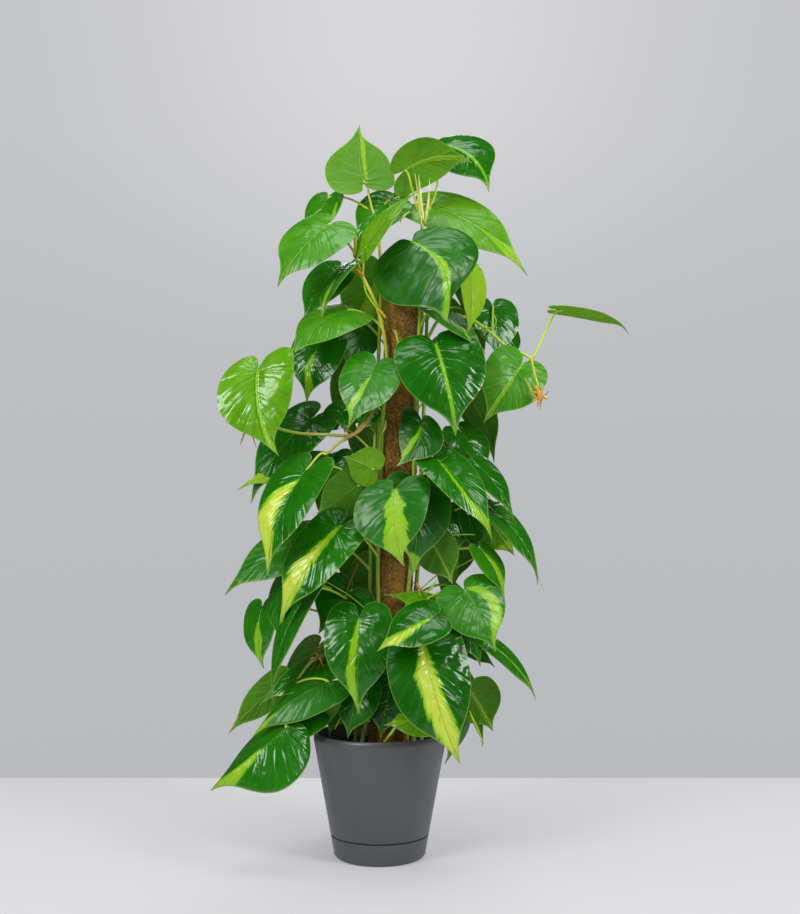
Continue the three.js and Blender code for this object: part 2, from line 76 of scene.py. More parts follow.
class PotSettings(bpy.types.PropertyGroup):
    """Sizes and colour of the pot and its saucer."""
    height: metres("Pot height", "Floor to rim", 0.154)
    rim: metres("Rim radius", "At its widest", 0.085)
    foot: metres("Foot radius", "At the top of the saucer", 0.0626)
    wall: metres("Wall", "Wall thickness", 0.0024)
    saucer: metres("Saucer height", "Floor to its lip", 0.0275)
    tone: swatch("Pot colour", "Moulded plastic", "#454b4e")


class PoleSettings(bpy.types.PropertyGroup):
    """Sizes and colour of the coir pole and the soil."""
    radius: metres("Pole radius", "Coir outside", 0.025)
    core: metres("Stake radius", "Wooden stake", 0.012)
    top: metres("Pole top", "Height of the stake's end", 0.744)
    fibres: bpy.props.IntProperty(
        name="Loose fibres", description="Coir fibres that stand proud", default=3600)
    soil_top: metres("Soil top", "Height of the soil", 0.138)
    coir: swatch("Coir colour", "Middle tone of the fibre", "#c89c44")


class LeafSettings(bpy.types.PropertyGroup):
    """Thickness and colours of the leaves."""
    thickness: metres("Blade", "Blade thickness", 0.0009)
    dark: swatch("Old green", "Green of the oldest blades", "#116202")
    light: swatch("Young green", "Green of the youngest blades", "#82b814")
    stripe: swatch("Stripe", "Lime of the stripe", "#8cc808")
    cream: swatch("Stripe centre", "Cream of its middle", "#e0ee58")


class StageSettings(bpy.types.PropertyGroup):
    """Floor, backdrop and light."""
    floor: swatch("Floor", "Pale floor", "#d7d7d9")
    wall_high: swatch("Backdrop, high", "Grey above", "#c4c5c9")
    wall_low: swatch("Backdrop, low", "Grey at the floor", "#b9babe")
    light: bpy.props.FloatProperty(name="Light", description="Strength of the lamps", default=1.0)


# The plant's layout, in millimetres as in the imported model

VIEW_DISTANCE = 1400.0
EYE = np.array([26.0, -VIEW_DISTANCE, 380.0])
POLE_FOOT = 10.0
POLE_LEAN = 0.0369
SOIL = 138.0
POT_SIDES, DRAIN_RING, DRAIN_RADIUS = 128, 34, 4.5
SOIL_RINGS, SOIL_SIDES, CRUMBS, CLEAR_OF_POLE = 44, 150, 520, 27
SLEEVE_FOOT, POLE_ROWS, POLE_SIDES = 42.0, 330, 110
FIBRE_RADIUS = 0.26
# The floor's half width and its back edge, in metres
FLOOR_HALF, FLOOR_BACK = 4, 0.471
STEM_RADIUS = 2.9
ARM_RADIUS = 2.3
LONG_REACH = 110.0
LOWEST_PETIOLE = 162.0
PETIOLE_RADIUS = 1.55
SHOOT_POINTS = 14
YOUNG_ABOVE = 740.0
NODE_SPACING = 52
DROOP = 0.2
VEIN_CURVE = 1.3
MARGIN_CURVE = 2.2
TIP_FROM = 0.72
QUILTS, QUILT_SCALE = 5.5, 50
FULL_FRAY = 9.0
NO_STRIPE = -30.0

# Half the heart outline: [half widths, lengths from the petiole, foot of its vein on the midrib]
HALF_HEART = np.array([
    [0.0, 0.0, 0.0], [0.12, -0.12, 0.002], [0.36, -0.175, 0.006], [0.65, -0.155, 0.01], [0.88, -0.07, 0.02],
    [0.985, 0.07, 0.04], [1.0, 0.22, 0.07], [0.95, 0.37, 0.13], [0.81, 0.51, 0.22], [0.57, 0.635, 0.34],
    [0.31, 0.735, 0.48], [0.15, 0.82, 0.62], [0.07, 0.9, 0.78], [0.0, 1.0, 1.0],
])

# Main stems: true points [x, z, distance in front of the pole's plane]
STEMS = {
    "front_left": [[-24, 95, 27], [-23, 139, 27], [-9, 205, 22], [-2, 400, 21], [4, 560, 21], [9, 630, 25],
                   [-3, 700, 33], [-30, 760, 42], [-33, 806, 40]],
    "front_right": [[45, 95, 26], [44, 139, 27], [33, 205, 22], [41, 400, 22], [46, 560, 22], [52, 700, 22],
                    [55, 775, 22], [55, 826, 20]],
    "left": [[-33, 95, 0], [-32, 139, 1], [-19, 210, 4], [-12, 400, 3], [-6, 560, 3], [-1, 700, 3],
             [0, 770, 2], [-6, 832, 0]],
    "right": [[55, 95, -3], [54, 139, -3], [44, 210, -6], [51, 400, -6], [57, 560, -6], [62, 700, -6],
              [64, 770, -6], [66, 850, -6]],
    "back_left": [[-13, 95, -34], [-12, 139, -33], [-7, 210, -25], [1, 400, -26], [7, 560, -26],
                  [12, 700, -26], [14, 790, -26]],
    "back_right": [[37, 95, -34], [35, 139, -33], [31, 210, -26], [38, 400, -26], [44, 560, -26],
                   [49, 700, -26], [52, 790, -26]],
}

# Side branches: stem it grows from, its age (0 green to 1 woody) and its points in the front elevation
ARMS = {
    "arm_left": ["front_left", 0.75, [[4, 610, 26], [-4, 583, 33], [-34, 540, 44], [-76, 539, 48],
                                      [-110, 541, 48], [-146, 550, 46]]],
    "arm_fork": ["front_left", 0.8, [[-20, 556, 40], [-34, 540, 44], [-52, 530, 54], [-72, 512, 62]]],
    "arm_right": ["right", 0.15, [[60, 664, -2], [86, 700, 8], [119, 694, 12], [146, 676, 14],
                                  [170, 655, 14], [199, 641, 14], [212, 602, 12]]],
    "arm_low_left": ["left", 0.6, [[-19, 212, 6], [-50, 252, 18], [-82, 248, 30], [-108, 218, 38],
                                   [-124, 192, 44]]],
}

# Leaves of the front elevation: name, stem, petiole joint and tip [across, up, nearness], width,
# face direction [right, up] in degrees, [bend in degrees, fold, sweep], then what the imported model leaves
# out: [tone from old 0 to young 1, tip hook in lengths, midrib pushed aside in half widths] and the
# stripes, each a row of stations [across in half widths, along in lengths, half width in half widths].
# A tone follows how bright its leaf looks under its light, so besides age it holds some painted light and
# shade: f1's is raised for the pale sheen of its gloss, and k3's for the light it lacks from below.
# Most leaves share a fold of .2, no sweep, a hook of .02 and a straight midrib; their rows leave those out.
LEAVES = [
    ["a1", "left", [-24, 880, 4], [-28, 962, -12], 92, [172, 12], [20, .2, -.1], [.5, .03, .1],
     [[.12, 0, .03], [.15, .5, .07], [.12, .8, .11], [.02, 1, .04]]],
    ["a2", "front_right", [30, 897, 34], [126, 911, 52], 66, [176, 40], [30, .1, -.1], [.62, .05, 0],
     [[0, 0, .05], [0, .5, .1], [0, .8, .12], [0, 1, .08]]],
    ["a3", "right", [85, 934, -12], [147, 869, 4], 102, [12, 30], [40, .15, .12], [.12],
     [[0, 0, .03], [0, .6, .04], [0, 1, .03]]],
    ["a4", "right", [64, 850, -14], [199, 754, 12], 84, [14, 24], [40, .2, .02], [.75],
     [[0, 0, .02], [0, .5, .04], [0, .8, .2], [0, 1, .1]]],
    ["b1", "front_right", [42, 800, 76], [88, 689, 92], 140, [-20, 20], [36, -.25, .03], [.18, .02, .28],
     [[0, 0, .02], [0, .25, .03], [.03, .42, .09], [.02, .7, .07], [0, 1, .05]]],
    ["b2", "front_left", [-21, 790, 62], [49, 871, 76], 84, [-60, 25], [20, .25, 0], [.85], []],
    ["b3", "left", [14, 857, -6], [-37, 800, 4], 74, [-14, 30], [30, .15, 0], [.4], []],
    ["b4", "left", [-72, 860, -34], [-90, 796, -26], 58, [-30, 20], [30], [.4],
     [[.75, .15, .05], [.85, .5, .12], [.5, .8, .08]]],
    ["b5", "left", [24, 858, -16], [40, 884, -22], 30, [-30, 30], [20], [.5, 0, 0], []],
    ["b6", "front_right", [118, 762, 46], [115, 668, 52], 54, [48, 10], [30, .3, 0], [1, .03, 0],
     [[0, 0, 1.1], [0, .5, 1.1], [0, 1, 1]]],
    ["c1", "front_left", [-70, 824, 36], [-140, 738, 50], 102, [-24, 24], [40, .1, 0], [.6, .02, .05],
     [[0, 0, .014], [0, 1, .02]]],
    ["c2", "front_left", [-57, 762, -4], [-104, 686, 6], 78, [-34, 20], [35], [.35], []],
    ["c3", "front_left", [-45, 764, 30], [-80, 695, 44], 66, [-58, 24], [35, .25, 0], [.4],
     [[-.1, .3, .05], [-.05, .6, .14], [0, 1, .14]]],
    ["c4", "front_left", [-44, 706, 30], [-124, 640, 60], 86, [-16, 40], [45, .1, 0], [.62], []],
    ["c5", "left", [-78, 668, 4], [-99, 580, 16], 76, [-12, 16], [35], [.1, .03, -.1],
     [[0, .3, .05], [-.05, .5, .13], [.05, .8, .12], [0, 1, .06]]],
    ["c6", "left", [-24, 688, -6], [-46, 616, 4], 58, [24, 18], [35], [.2], []],
    # f1's high tone paints part of the pale sheen of its gloss into its green
    ["f1", "arm_left", [-162, 628, 62], [-134, 509, 74], 100, [-8, 14], [35, .25, -.1], [.8, .04, .05],
     [[0, 0, .04], [.0, .35, .04], [.0, .6, .055], [0, .8, .08], [0, 1, .1]]],
    ["g1", "front_left", [-6, 633, 62], [-44, 546, 78], 84, [-14, 30], [40, .2, .05], [.4],
     [[0, .2, .02], [-.1, .5, .1], [-.22, .75, .14], [-.06, .98, .08]]],
    ["g2", "left", [-89, 562, 6], [-175, 448, 22], 82, [-22, 24], [40], [.1, .05, 0], []],
    ["g4", "left", [-72, 496, 14], [-190, 468, 30], 66, [-12, 44], [30, .25, 0], [.3, .03, 0],
     [[-.1, .42, .1], [0, .7, .4], [0, 1, .3]]],
    ["g5", "left", [-38, 508, 2], [-64, 452, 10], 48, [-14, 20], [30], [.1], []],
    ["g6", "front_left", [-8, 492, 46], [-50, 510, 54], 54, [168, 22], [25], [.8], []],
    ["g7", "front_left", [-29, 472, 34], [-88, 427, 46], 58, [146, 34], [30], [.45], []],
    ["j1", "left", [-46, 572, 6], [-80, 538, 14], 46, [-14, 24], [30], [.1], []],
    ["j2", "left", [-14, 572, 10], [-32, 540, 18], 36, [-10, 24], [30], [.15], []],
    ["h1", "arm_fork", [-97, 493, 66], [-150, 352, 86], 84, [-30, 22], [45, .25, 0], [.2, .03, 0],
     [[0, .12, .03], [-.3, .3, .22], [-.48, .52, .36], [-.35, .76, .42], [0, 1, .3]]],
    ["e1", "front_right", [73, 660, 70], [101, 535, 84], 114, [6, 18], [45, .15, 0], [.1, .05, 0],
     [[0, 0, .03], [0, .6, .04], [0, 1, .03]]],
    ["e2", "front_right", [68, 709, 44], [137, 643, 60], 74, [22, 68], [35], [.4, .03, 0],
     [[0, .5, .1], [0, .8, .3], [0, 1, .3]]],
    ["k1", "arm_right", [150, 712, -14], [156, 636, -2], 68, [18, 18], [30], [.22], []],
    ["k2", "arm_right", [188, 633, 28], [136, 554, 38], 82, [14, 22], [35], [.6],
     [[0, 0, .03], [0, .5, .07], [0, 1, .05]]],
    # k3 is seen from below, where no lamp lights it; its tone of 1 is painted light
    ["k3", "arm_right", [241, 706, 2], [338, 681, 8], 74, [0, 88], [15], [1, .1, 0], []],
    ["k4", "right", [164, 682, -24], [172, 632, -18], 46, [30, 20], [30], [.2], []],
    ["l1", "front_right", [55, 556, 54], [19, 496, 66], 62, [-6, 24], [30, .2, .18], [0],
     [[-.05, .12, .03], [-.25, .45, .1], [-.22, .7, .1], [0, 1, .06]]],
    ["l2", "front_right", [76, 505, 64], [149, 399, 82], 64, [24, 26], [45], [.2, .03, 0],
     [[-.02, 0, .03], [-.2, .3, .07], [-.22, .55, .1], [-.1, .82, .3], [0, 1, .2]]],
    ["l3", "right", [105, 544, 6], [140, 478, 14], 64, [32, 20], [35], [.14], []],
    ["l4", "right", [122, 504, 34], [177, 424, 44], 52, [42, 24], [35], [.15], []],
    ["l5", "right", [141, 446, 22], [210, 342, 34], 50, [44, 26], [45], [.28, .04, 0], []],
    ["l6", "right", [140, 428, -14], [176, 379, -10], 60, [172, 12], [25], [.4],
     [[-.9, .75, .15], [.9, .7, .2]]],
    ["m1", "front_right", [18, 466, 78], [32, 364, 90], 94, [-6, 20], [40, .1, -.1], [.2, .02, .08],
     [[.03, .03, .08], [.06, .25, .25], [.08, .5, .32], [.06, .75, .36], [0, 1, .2]]],
    ["m2", "front_right", [48, 470, 52], [43, 353, 62], 88, [14, 16], [40], [.08],
     [[-.5, .6, .06], [-.4, .78, .24], [-.1, .92, .4], [0, 1, .3]]],
    ["n1", "left", [-89, 403, 24], [-206, 329, 36], 78, [-16, 36], [40, .15, 0], [.35, .03, 0], []],
    ["n2", "front_left", [-52, 418, 62], [-134, 289, 78], 80, [-18, 26], [45], [.22, .03, 0],
     [[0, 0, .04], [-.02, .25, .14], [-.15, .5, .32], [-.15, .72, .3], [0, 1, .2]]],
    ["n3", "left", [-154, 312, -2], [-152, 232, 8], 66, [-44, 16], [35], [.32, .03, 0],
     [[-.05, .25, .06], [0, .5, .22], [-.05, .75, .16], [0, 1, .1]]],
    ["n4", "left", [-129, 345, 30], [-129, 265, 38], 56, [-58, 14], [35], [.28],
     [[.7, .15, .1], [.75, .5, .15], [.5, .8, .12]]],
    ["n6", "left", [-90, 337, 50], [-142, 188, 62], 50, [-54, 16], [40], [.25, .03, 0], []],
    ["q1", "left", [-37, 335, 16], [-81, 278, 28], 80, [-8, 24], [35], [.16], []],
    ["r1", "front_left", [-27, 300, 64], [-28, 174, 78], 86, [-6, 16], [40], [.14],
     [[0, .04, .04], [-.12, .3, .09], [-.2, .56, .13], [-.15, .76, .12], [0, 1, .1]]],
    ["r2", "front_right", [70, 301, 108], [-5, 256, 116], 66, [-8, 44], [35, .15, 0], [.06],
     [[.05, .08, .04], [.15, .4, .16], [.16, .7, .22], [0, 1, .2]]],
    ["r3", "front_right", [57, 264, 88], [105, 110, 102], 102, [10, 16], [45, .15, -.06], [.04, .03, 0],
     [[-.05, .03, .1], [-.1, .25, .28], [-.05, .5, .28], [.03, .76, .26], [0, 1, .2]]],
    ["s1", "front_right", [110, 335, 58], [150, 255, 68], 88, [12, 26], [40, .15, 0], [.4],
     [[.1, .0, .04], [.4, .12, .12], [.58, .3, .16], [.48, .52, .2], [.2, .76, .15], [0, 1, .06]]],
    ["s3", "front_right", [132, 387, 34], [163, 322, 42], 50, [48, 20], [30], [.42],
     [[0, .08, .06], [.2, .4, .16], [.2, .7, .24], [0, 1, .15]]],
    ["t1", "front_right", [66, 399, 44], [95, 342, 50], 58, [170, 20], [30], [.2],
     [[0, 0, .03], [0, 1, .04]]],
    ["t2", "right", [86, 438, 12], [102, 376, 18], 56, [22, 16], [30], [.14], []],
    ["t3", "right", [116, 428, 2], [126, 380, 6], 42, [40, 16], [30], [.2], []],
    ["u1", "front_right", [88, 308, 34], [4, 330, 46], 42, [-4, 52], [25, .15, 0], [.75], []],
    ["v1", "right", [100, 304, 20], [131, 236, 28], 58, [36, 18], [30], [.15], []],
    ["v3", "right", [139, 268, 10], [204, 194, 18], 42, [54, 28], [35], [.35, .03, 0],
     [[0, 0, .05], [0, .6, .07], [0, 1, .05]]],
    ["v4", "right", [110, 262, -12], [150, 236, -8], 30, [40, 30], [25], [.3, .04, 0], []],
    ["w1", "right", [116, 206, -14], [146, 154, -8], 70, [172, 12], [30], [.4],
     [[0, 0, .06], [0, .6, .07], [0, 1, .05]]],
    ["w3", "back_right", [104, 188, -46], [84, 112, -54], 42, [40, 10], [30], [.15], []],
    ["x1", "front_right", [64, 168, 54], [4, 162, 60], 46, [-8, 42], [20, .15, 0], [.8],
     [[0, .5, .1], [0, .9, .4], [0, 1, .3]]],
    ["x3", "front_right", [15, 214, 38], [0, 144, 46], 62, [-10, 16], [25], [0], []],
    ["x4", "front_left", [-24, 212, 38], [-42, 144, 48], 60, [-20, 16], [25], [.15], []],
    ["x5", "left", [-48, 206, 18], [-66, 148, 30], 46, [-24, 18], [25], [.15], []],
    ["y1", "arm_low_left", [-119, 160, 74], [-222, 80, 84], 98, [-10, 50], [40, -.35, .1], [.22, .04, 0],
     [[.0, .35, .05], [.08, .6, .13], [.1, .82, .18], [0, 1, .15]]],
    ["y2", "arm_low_left", [-64, 218, 50], [-167, 146, 66], 60, [-10, 50], [40, -.2, 0], [.28],
     [[0, .66, .04], [0, .85, .14], [0, 1, .08]]],
    ["y3", "arm_low_left", [-86, 176, 42], [-168, 122, 52], 56, [-12, 44], [30], [.2], []],
    ["y5", "arm_low_left", [-64, 241, 26], [-159, 186, 38], 48, [-12, 46], [35, .1, 0], [.3], []],
    ["y4", "arm_low_left", [-126, 219, 16], [-198, 150, 24], 42, [150, 34], [30], [.38, .06, 0], []],
    ["y6", "arm_low_left", [-72, 196, 44], [-128, 128, 54], 50, [166, 30], [30], [.4], []],
]

# Leaves with a duller cuticle than the rest
DULL = ("m1", "m2", "c1", "n1", "s1", "a4", "b1", "g1", "c4", "e2", "c6", "k2", "l1", "y2")
# Leaves whose stripe turns from lime to cream in its middle
CREAMY = ("h1", "r3", "f1", "n2", "r2")

# Sheaths, roots and small stems: kind, nearness, points in the front elevation, radius at each point
GROWTH = [
    ["fresh", 34, [[54, 827], [51, 860], [46, 895]], [3.5, 3.0, .5]],
    ["fresh", 38, [[57, 827], [54, 857], [51, 893]], [3.8, 3.2, .5]],
    ["fresh", 36, [[59, 824], [64, 854], [66, 888]], [3.5, 2.7, .5]],
    ["fresh", 40, [[54, 835], [55, 821], [63, 806]], [2.4, 1.6, .5]],
    ["dried", 36, [[58, 827], [62, 839], [62, 846]], [3.0, 2.4, 1.1]],
    ["fresh", 42, [[26, 827], [31, 835], [39, 841]], [1.6, 3.0, .8]],
    ["fresh", 46, [[-47, 802], [-39, 807], [-29, 817]], [1.2, 2.6, .6]],
    ["dried", 44, [[-35, 764], [-29, 758], [-22, 753]], [2.0, 2.8, 2.0]],
    ["dried", 44, [[-4, 708], [2, 702], [7, 695]], [2.4, 3.2, 2.4]],
    ["lime", 40, [[-25, 783], [-24, 758], [-20, 731], [-6, 709], [4, 690]], [1.8, 1.9, 1.8, 1.7, 1.4]],
    ["lime", 44, [[19, 679], [24, 659], [26, 639]], [2.4, 2.6, 1.6]],
    ["yellow", 52, [[200, 644], [205, 618], [210, 601]], [2.7, 2.4, 2.1]],
    ["dried", 52, [[192, 614], [201, 596], [213, 580]], [1.0, 1.5, .9]],
    ["dried", 52, [[206, 604], [211, 590], [208, 576]], [2.7, 4.8, 1.5]],
    ["dried", 52, [[202, 596], [211, 593], [221, 585]], [1.8, 3.6, 1.2]],
    ["dried", 52, [[217, 604], [210, 590], [201, 582]], [1.2, 3.3, 1.2]],
    ["fresh", 52, [[213, 590], [218, 589], [222, 590]], [2.1, 2.4, .9]],
    ["root", 52, [[189, 606], [197, 590], [206, 586]], [.8, .9, .8]],
    ["root", 52, [[223, 597], [213, 584], [211, 573]], [.8, .9, .6]],
    ["lime", 16, [[138, 682], [150, 683], [154, 690], [150, 702]], [1.4, 1.5, 1.4, 1.2]],
    ["lime", 24, [[127, 674], [131, 659], [140, 647]], [.6, 3.4, .5]],
    ["fresh", 50, [[118, 695], [116, 682], [114, 666]], [1.6, 1.0, .3]],
    ["root", 46, [[-59, 558], [-51, 549], [-43, 542]], [.8, 1.2, 1.4]],
    ["dried", 52, [[-174, 549], [-180, 540], [-185, 526]], [3.0, 2.4, 1.0]],
    ["root", 50, [[-171, 545], [-168, 534], [-164, 522]], [1.4, 1.1, .4]],
    ["fresh", 24, [[7, 558], [6, 548], [2, 540]], [1.6, 3.8, .8]],
    ["lime", 22, [[5, 588], [1, 545], [-3, 479]], [2.0, 2.2, 2.0]],
    ["root", 28, [[53, 335], [40, 347], [26, 353]], [1.5, 1.0, .4]],
    ["root", 28, [[51, 338], [44, 332], [34, 331]], [1.2, .8, .3]],
    ["dried", 28, [[47, 344], [51, 338], [56, 332]], [2.4, 3.2, 2.2]],
    ["lime", 34, [[51, 332], [56, 318], [60, 307]], [1.6, 1.7, 1.6]],
    ["lime", 30, [[53, 336], [74, 354], [103, 366], [126, 378]], [1.5, 1.5, 1.4, 1.2]],
    ["lime", 24, [[51, 386], [74, 403], [100, 407], [124, 407]], [1.4, 1.4, 1.3, 1.2]],
    ["lime", 30, [[198, 371], [206, 353], [215, 330]], [1.3, .8, .3]],
    ["root", 18, [[-28, 373], [-43, 336], [-57, 304]], [1.9, 1.8, 1.6]],
    ["lime", 30, [[-73, 347], [-45, 331], [-17, 309]], [1.4, 1.4, 1.3]],
    ["root", 30, [[-78, 271], [-88, 255], [-92, 235]], [1.2, 1.0, .4]],
    ["root", 32, [[-75, 265], [-82, 245], [-96, 222], [-119, 194]], [1.4, 1.2, 1.0, .4]],
    ["root", 30, [[-73, 263], [-74, 245], [-86, 230]], [1.6, 1.2, .5]],
    ["root", 26, [[-81, 276], [-92, 269], [-99, 274]], [1.0, .8, .3]],
    ["dried", 30, [[-83, 255], [-77, 245], [-73, 235]], [2.0, 2.4, 1.0]],
    ["yellow", 36, [[-41, 194], [-49, 176], [-58, 157]], [1.6, 1.7, 1.6]],
    ["lime", 44, [[74, 348], [67, 338], [58, 330]], [.6, 3.0, .5]],
    ["lime", 44, [[115, 180], [124, 160], [134, 138]], [1.8, 3.2, .6]],
    ["lime", 60, [[21, 161], [14, 151], [5, 140]], [3.0, 3.6, 1.2]],
    ["root", 40, [[31, 141], [41, 147], [52, 150]], [.6, .5, .3]],
]

# Fields that each blade carries for its finish
BLADE_FIELDS = ("place", "vein", "paint", "wax")

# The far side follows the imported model's rule
BACK_LEAVES = 23
BACK_FIRST = 206
BACK_STEP = 27
BACK_TURNS = [26, -54, 66, -22, 46, -70, 8]
BACK_SEED = 656
# Each measure of a far leaf: its least value, and how much a random number from 0 to 1 adds
BACK_REACH, BACK_OUT, BACK_DROP, BACK_WIDE = (66, 48), (14, 26), (78, 40), (64, 32)
BACK_LIFT, BACK_BEND = (0.25, 0.3), (30, 24)


def pole_x(z):
    """Middle of the leaning pole at height z, in millimetres."""
    return POLE_FOOT + (z - SOIL) * POLE_LEAN


def seen(point):
    """A point of the front elevation, carried along its line of sight to its own depth."""
    across, height, near = point
    return EYE + (np.array([across, 0.0, height]) - EYE) * (1 - near / VIEW_DISTANCE)


def seeded(seed):
    """Numbers from 0 to 1, each from the one before by a fixed multiplication and remainder."""
    state = seed
    while True:
        state = (state * 16807) % 2147483647
        yield state / 2147483647


def unit(vectors):
    """Vectors of length one."""
    return vectors / np.maximum(np.linalg.norm(vectors, axis=-1, keepdims=True), 1e-12)


def through(knots, count):
    """Evenly spaced points of a smooth curve: a cubic between each two knots, whose end slopes are the
    mean slopes of the spans beside them."""
    knots = np.asarray(knots, float)
    at = np.concatenate([[0.0], np.cumsum(np.linalg.norm(np.diff(knots, axis=0), axis=1))])
    slope = np.gradient(knots, at, axis=0)
    where = np.linspace(0, at[-1], count)
    i = np.clip(np.searchsorted(at, where, side="right") - 1, 0, len(at) - 2)
    span = (at[i + 1] - at[i])[:, None]
    u = (where - at[i])[:, None] / span
    start = (2 * u ** 3 - 3 * u ** 2 + 1) * knots[i] + (u ** 3 - 2 * u ** 2 + u) * span * slope[i]
    return start + (3 * u ** 2 - 2 * u ** 3) * knots[i + 1] + (u ** 3 - u ** 2) * span * slope[i + 1]


class Surface:
    """Points with quads, triangles, a finish number for each face and named per-point fields."""

    def __init__(self):
        self.points, self.quads, self.fans = [], [], []
        self.kinds, self.fields, self.count = [[], []], {}, 0

    def add(self, points, quads, fans, kind=0, fan_kind=None, **fields):
        """Adds a patch: its points, its quads and triangles numbered within it, and its fields."""
        points = np.asarray(points, float).reshape(-1, 3)
        quads, fans = np.asarray(quads, int).reshape(-1, 4), np.asarray(fans, int).reshape(-1, 3)
        self.points.append(points)
        self.quads.append(quads + self.count)
        self.fans.append(fans + self.count)
        self.kinds[0].append(np.broadcast_to(kind, len(quads)))
        self.kinds[1].append(np.broadcast_to(kind if fan_kind is None else fan_kind, len(fans)))
        for name, values in fields.items():
            self.fields.setdefault(name, []).append(np.broadcast_to(values, (len(points), 3)).astype(float))
        self.count += len(points)

    def make(self, name, skins, slot, node=None, sharp=50.0):
        """The mesh object, at the origin. The slot argument is not used. Edges over `sharp` degrees stay
        crisp."""
        quads, fans = np.concatenate(self.quads), np.concatenate(self.fans)
        mesh = bpy.data.meshes.new(name)
        mesh.vertices.add(self.count)
        mesh.vertices.foreach_set("co", (np.concatenate(self.points) * MM).astype(np.float32).ravel())
        corners = np.concatenate([quads.ravel(), fans.ravel()]).astype(np.int32)
        sizes = np.concatenate([np.full(len(quads), 4), np.full(len(fans), 3)])
        mesh.loops.add(len(corners))
        mesh.loops.foreach_set("vertex_index", corners)
        mesh.polygons.add(len(sizes))
        mesh.polygons.foreach_set("loop_start", (np.cumsum(sizes) - sizes).astype(np.int32))
        kinds = np.concatenate([*self.kinds[0], *self.kinds[1]]).astype(np.int32)
        mesh.polygons.foreach_set("material_index", kinds)
        for skin in skins:
            mesh.materials.append(skin)
        for field, values in self.fields.items():
            layer = mesh.attributes.new(field, "FLOAT_VECTOR", "POINT")
            layer.data.foreach_set("vector", np.concatenate(values).astype(np.float32).ravel())
        mesh.update(calc_edges=True)
        mesh.polygons.foreach_set("use_smooth", np.ones(len(sizes), bool))
        mesh.set_sharp_from_angle(angle=math.radians(sharp))
        if mesh.validate():
            raise RuntimeError(f"{name} has broken faces")
        piece = bpy.data.objects.new(name, mesh)
        bpy.context.scene.collection.objects.link(piece)
        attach(piece, "root")
        if node:
            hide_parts(node)
        return piece


def circle(sides):
    """Directions round Z, evenly spaced."""
    angle = np.arange(sides) * 2 * np.pi / sides
    return np.stack([np.cos(angle), np.sin(angle), np.zeros(sides)], -1)


def neighbours(sides):
    """The numbers of a ring's points, and of the points after them."""
    return np.arange(sides), (np.arange(sides) + 1) % sides


def grid(rows, columns, ring=False):
    """Quads between neighbouring points of a grid numbered row by row; a ring joins its ends."""
    i = np.arange(rows - 1)[:, None] * columns
    j = np.arange(columns if ring else columns - 1)[None, :]
    k = (j + 1) % columns
    return np.stack([i + j, i + k, i + k + columns, i + j + columns], -1).reshape(-1, 4)


def add_turned(surface, profile, sides, shift=0.0):
    """A solid of revolution: the outline of [radius, height] points from axis to axis, turned about Z.
    shift moves each point by an array of the grid's shape."""
    profile = np.asarray(profile, float)
    body = profile[1:-1, None, :1] * circle(sides) + profile[1:-1, None, 1:] * [0, 0, 1] + shift
    n = (len(profile) - 2) * sides
    points = np.concatenate([body.reshape(-1, 3), [[0, 0, profile[0, 1]], [0, 0, profile[-1, 1]]]])
    j, k = neighbours(sides)
    fans = np.concatenate([np.stack([np.full(sides, n), k, j], -1),
                           np.stack([np.full(sides, n + 1), n - sides + j, n - sides + k], -1)])
    surface.add(points, grid(len(profile) - 2, sides, True), fans)


def add_tubes(surface, paths, radii, sides, kind=0, flat=1.0, fields=None):
    """Closed tubes. A ring stands square to each path at each of its points: centre plus radius times
    (cos a * side + flat * sin a * other), where side is square to the path and to the direction that
    the path turns in least. A fan closes each end."""
    paths = np.asarray(paths, float)
    n, m = paths.shape[:2]
    along = unit(np.gradient(paths, axis=1))
    least = np.linalg.svd(along, full_matrices=True)[2][:, -1]
    side = unit(least[:, None] - (least[:, None] * along).sum(-1, keepdims=True) * along)
    other = np.cross(along, side)
    cos, sin, _ = circle(sides).T[..., None]
    radii = np.broadcast_to(radii, (n, m))[..., None, None]
    turn = cos * side[:, :, None] + flat * sin * other[:, :, None]
    rings = paths[:, :, None] + radii * turn
    points = np.concatenate([rings.reshape(n, -1, 3), paths[:, :1], paths[:, -1:]], 1)
    each = m * sides + 2
    first = np.arange(n)[:, None, None] * each
    j, k = neighbours(sides)
    start = np.full(sides, m * sides)
    caps = np.concatenate([np.stack([start, k, j], -1),
                           np.stack([start + 1, (m - 1) * sides + j, (m - 1) * sides + k], -1)])
    made = {}
    for name, values in (fields or {}).items():
        values = np.broadcast_to(values, (n, m, 3))
        ringed = np.repeat(values[:, :, None], sides, 2).reshape(n, -1, 3)
        made[name] = np.concatenate([ringed, values[:, :1], values[:, -1:]], 1).reshape(-1, 3)
    surface.add(points, (grid(m, sides, True)[None] + first).reshape(-1, 4),
                (caps[None] + first).reshape(-1, 3), kind, **made)


# Leaves

Leaf = collections.namedtuple("Leaf", "name on base tip wide face bend fold sweep tone hook skew stripes")


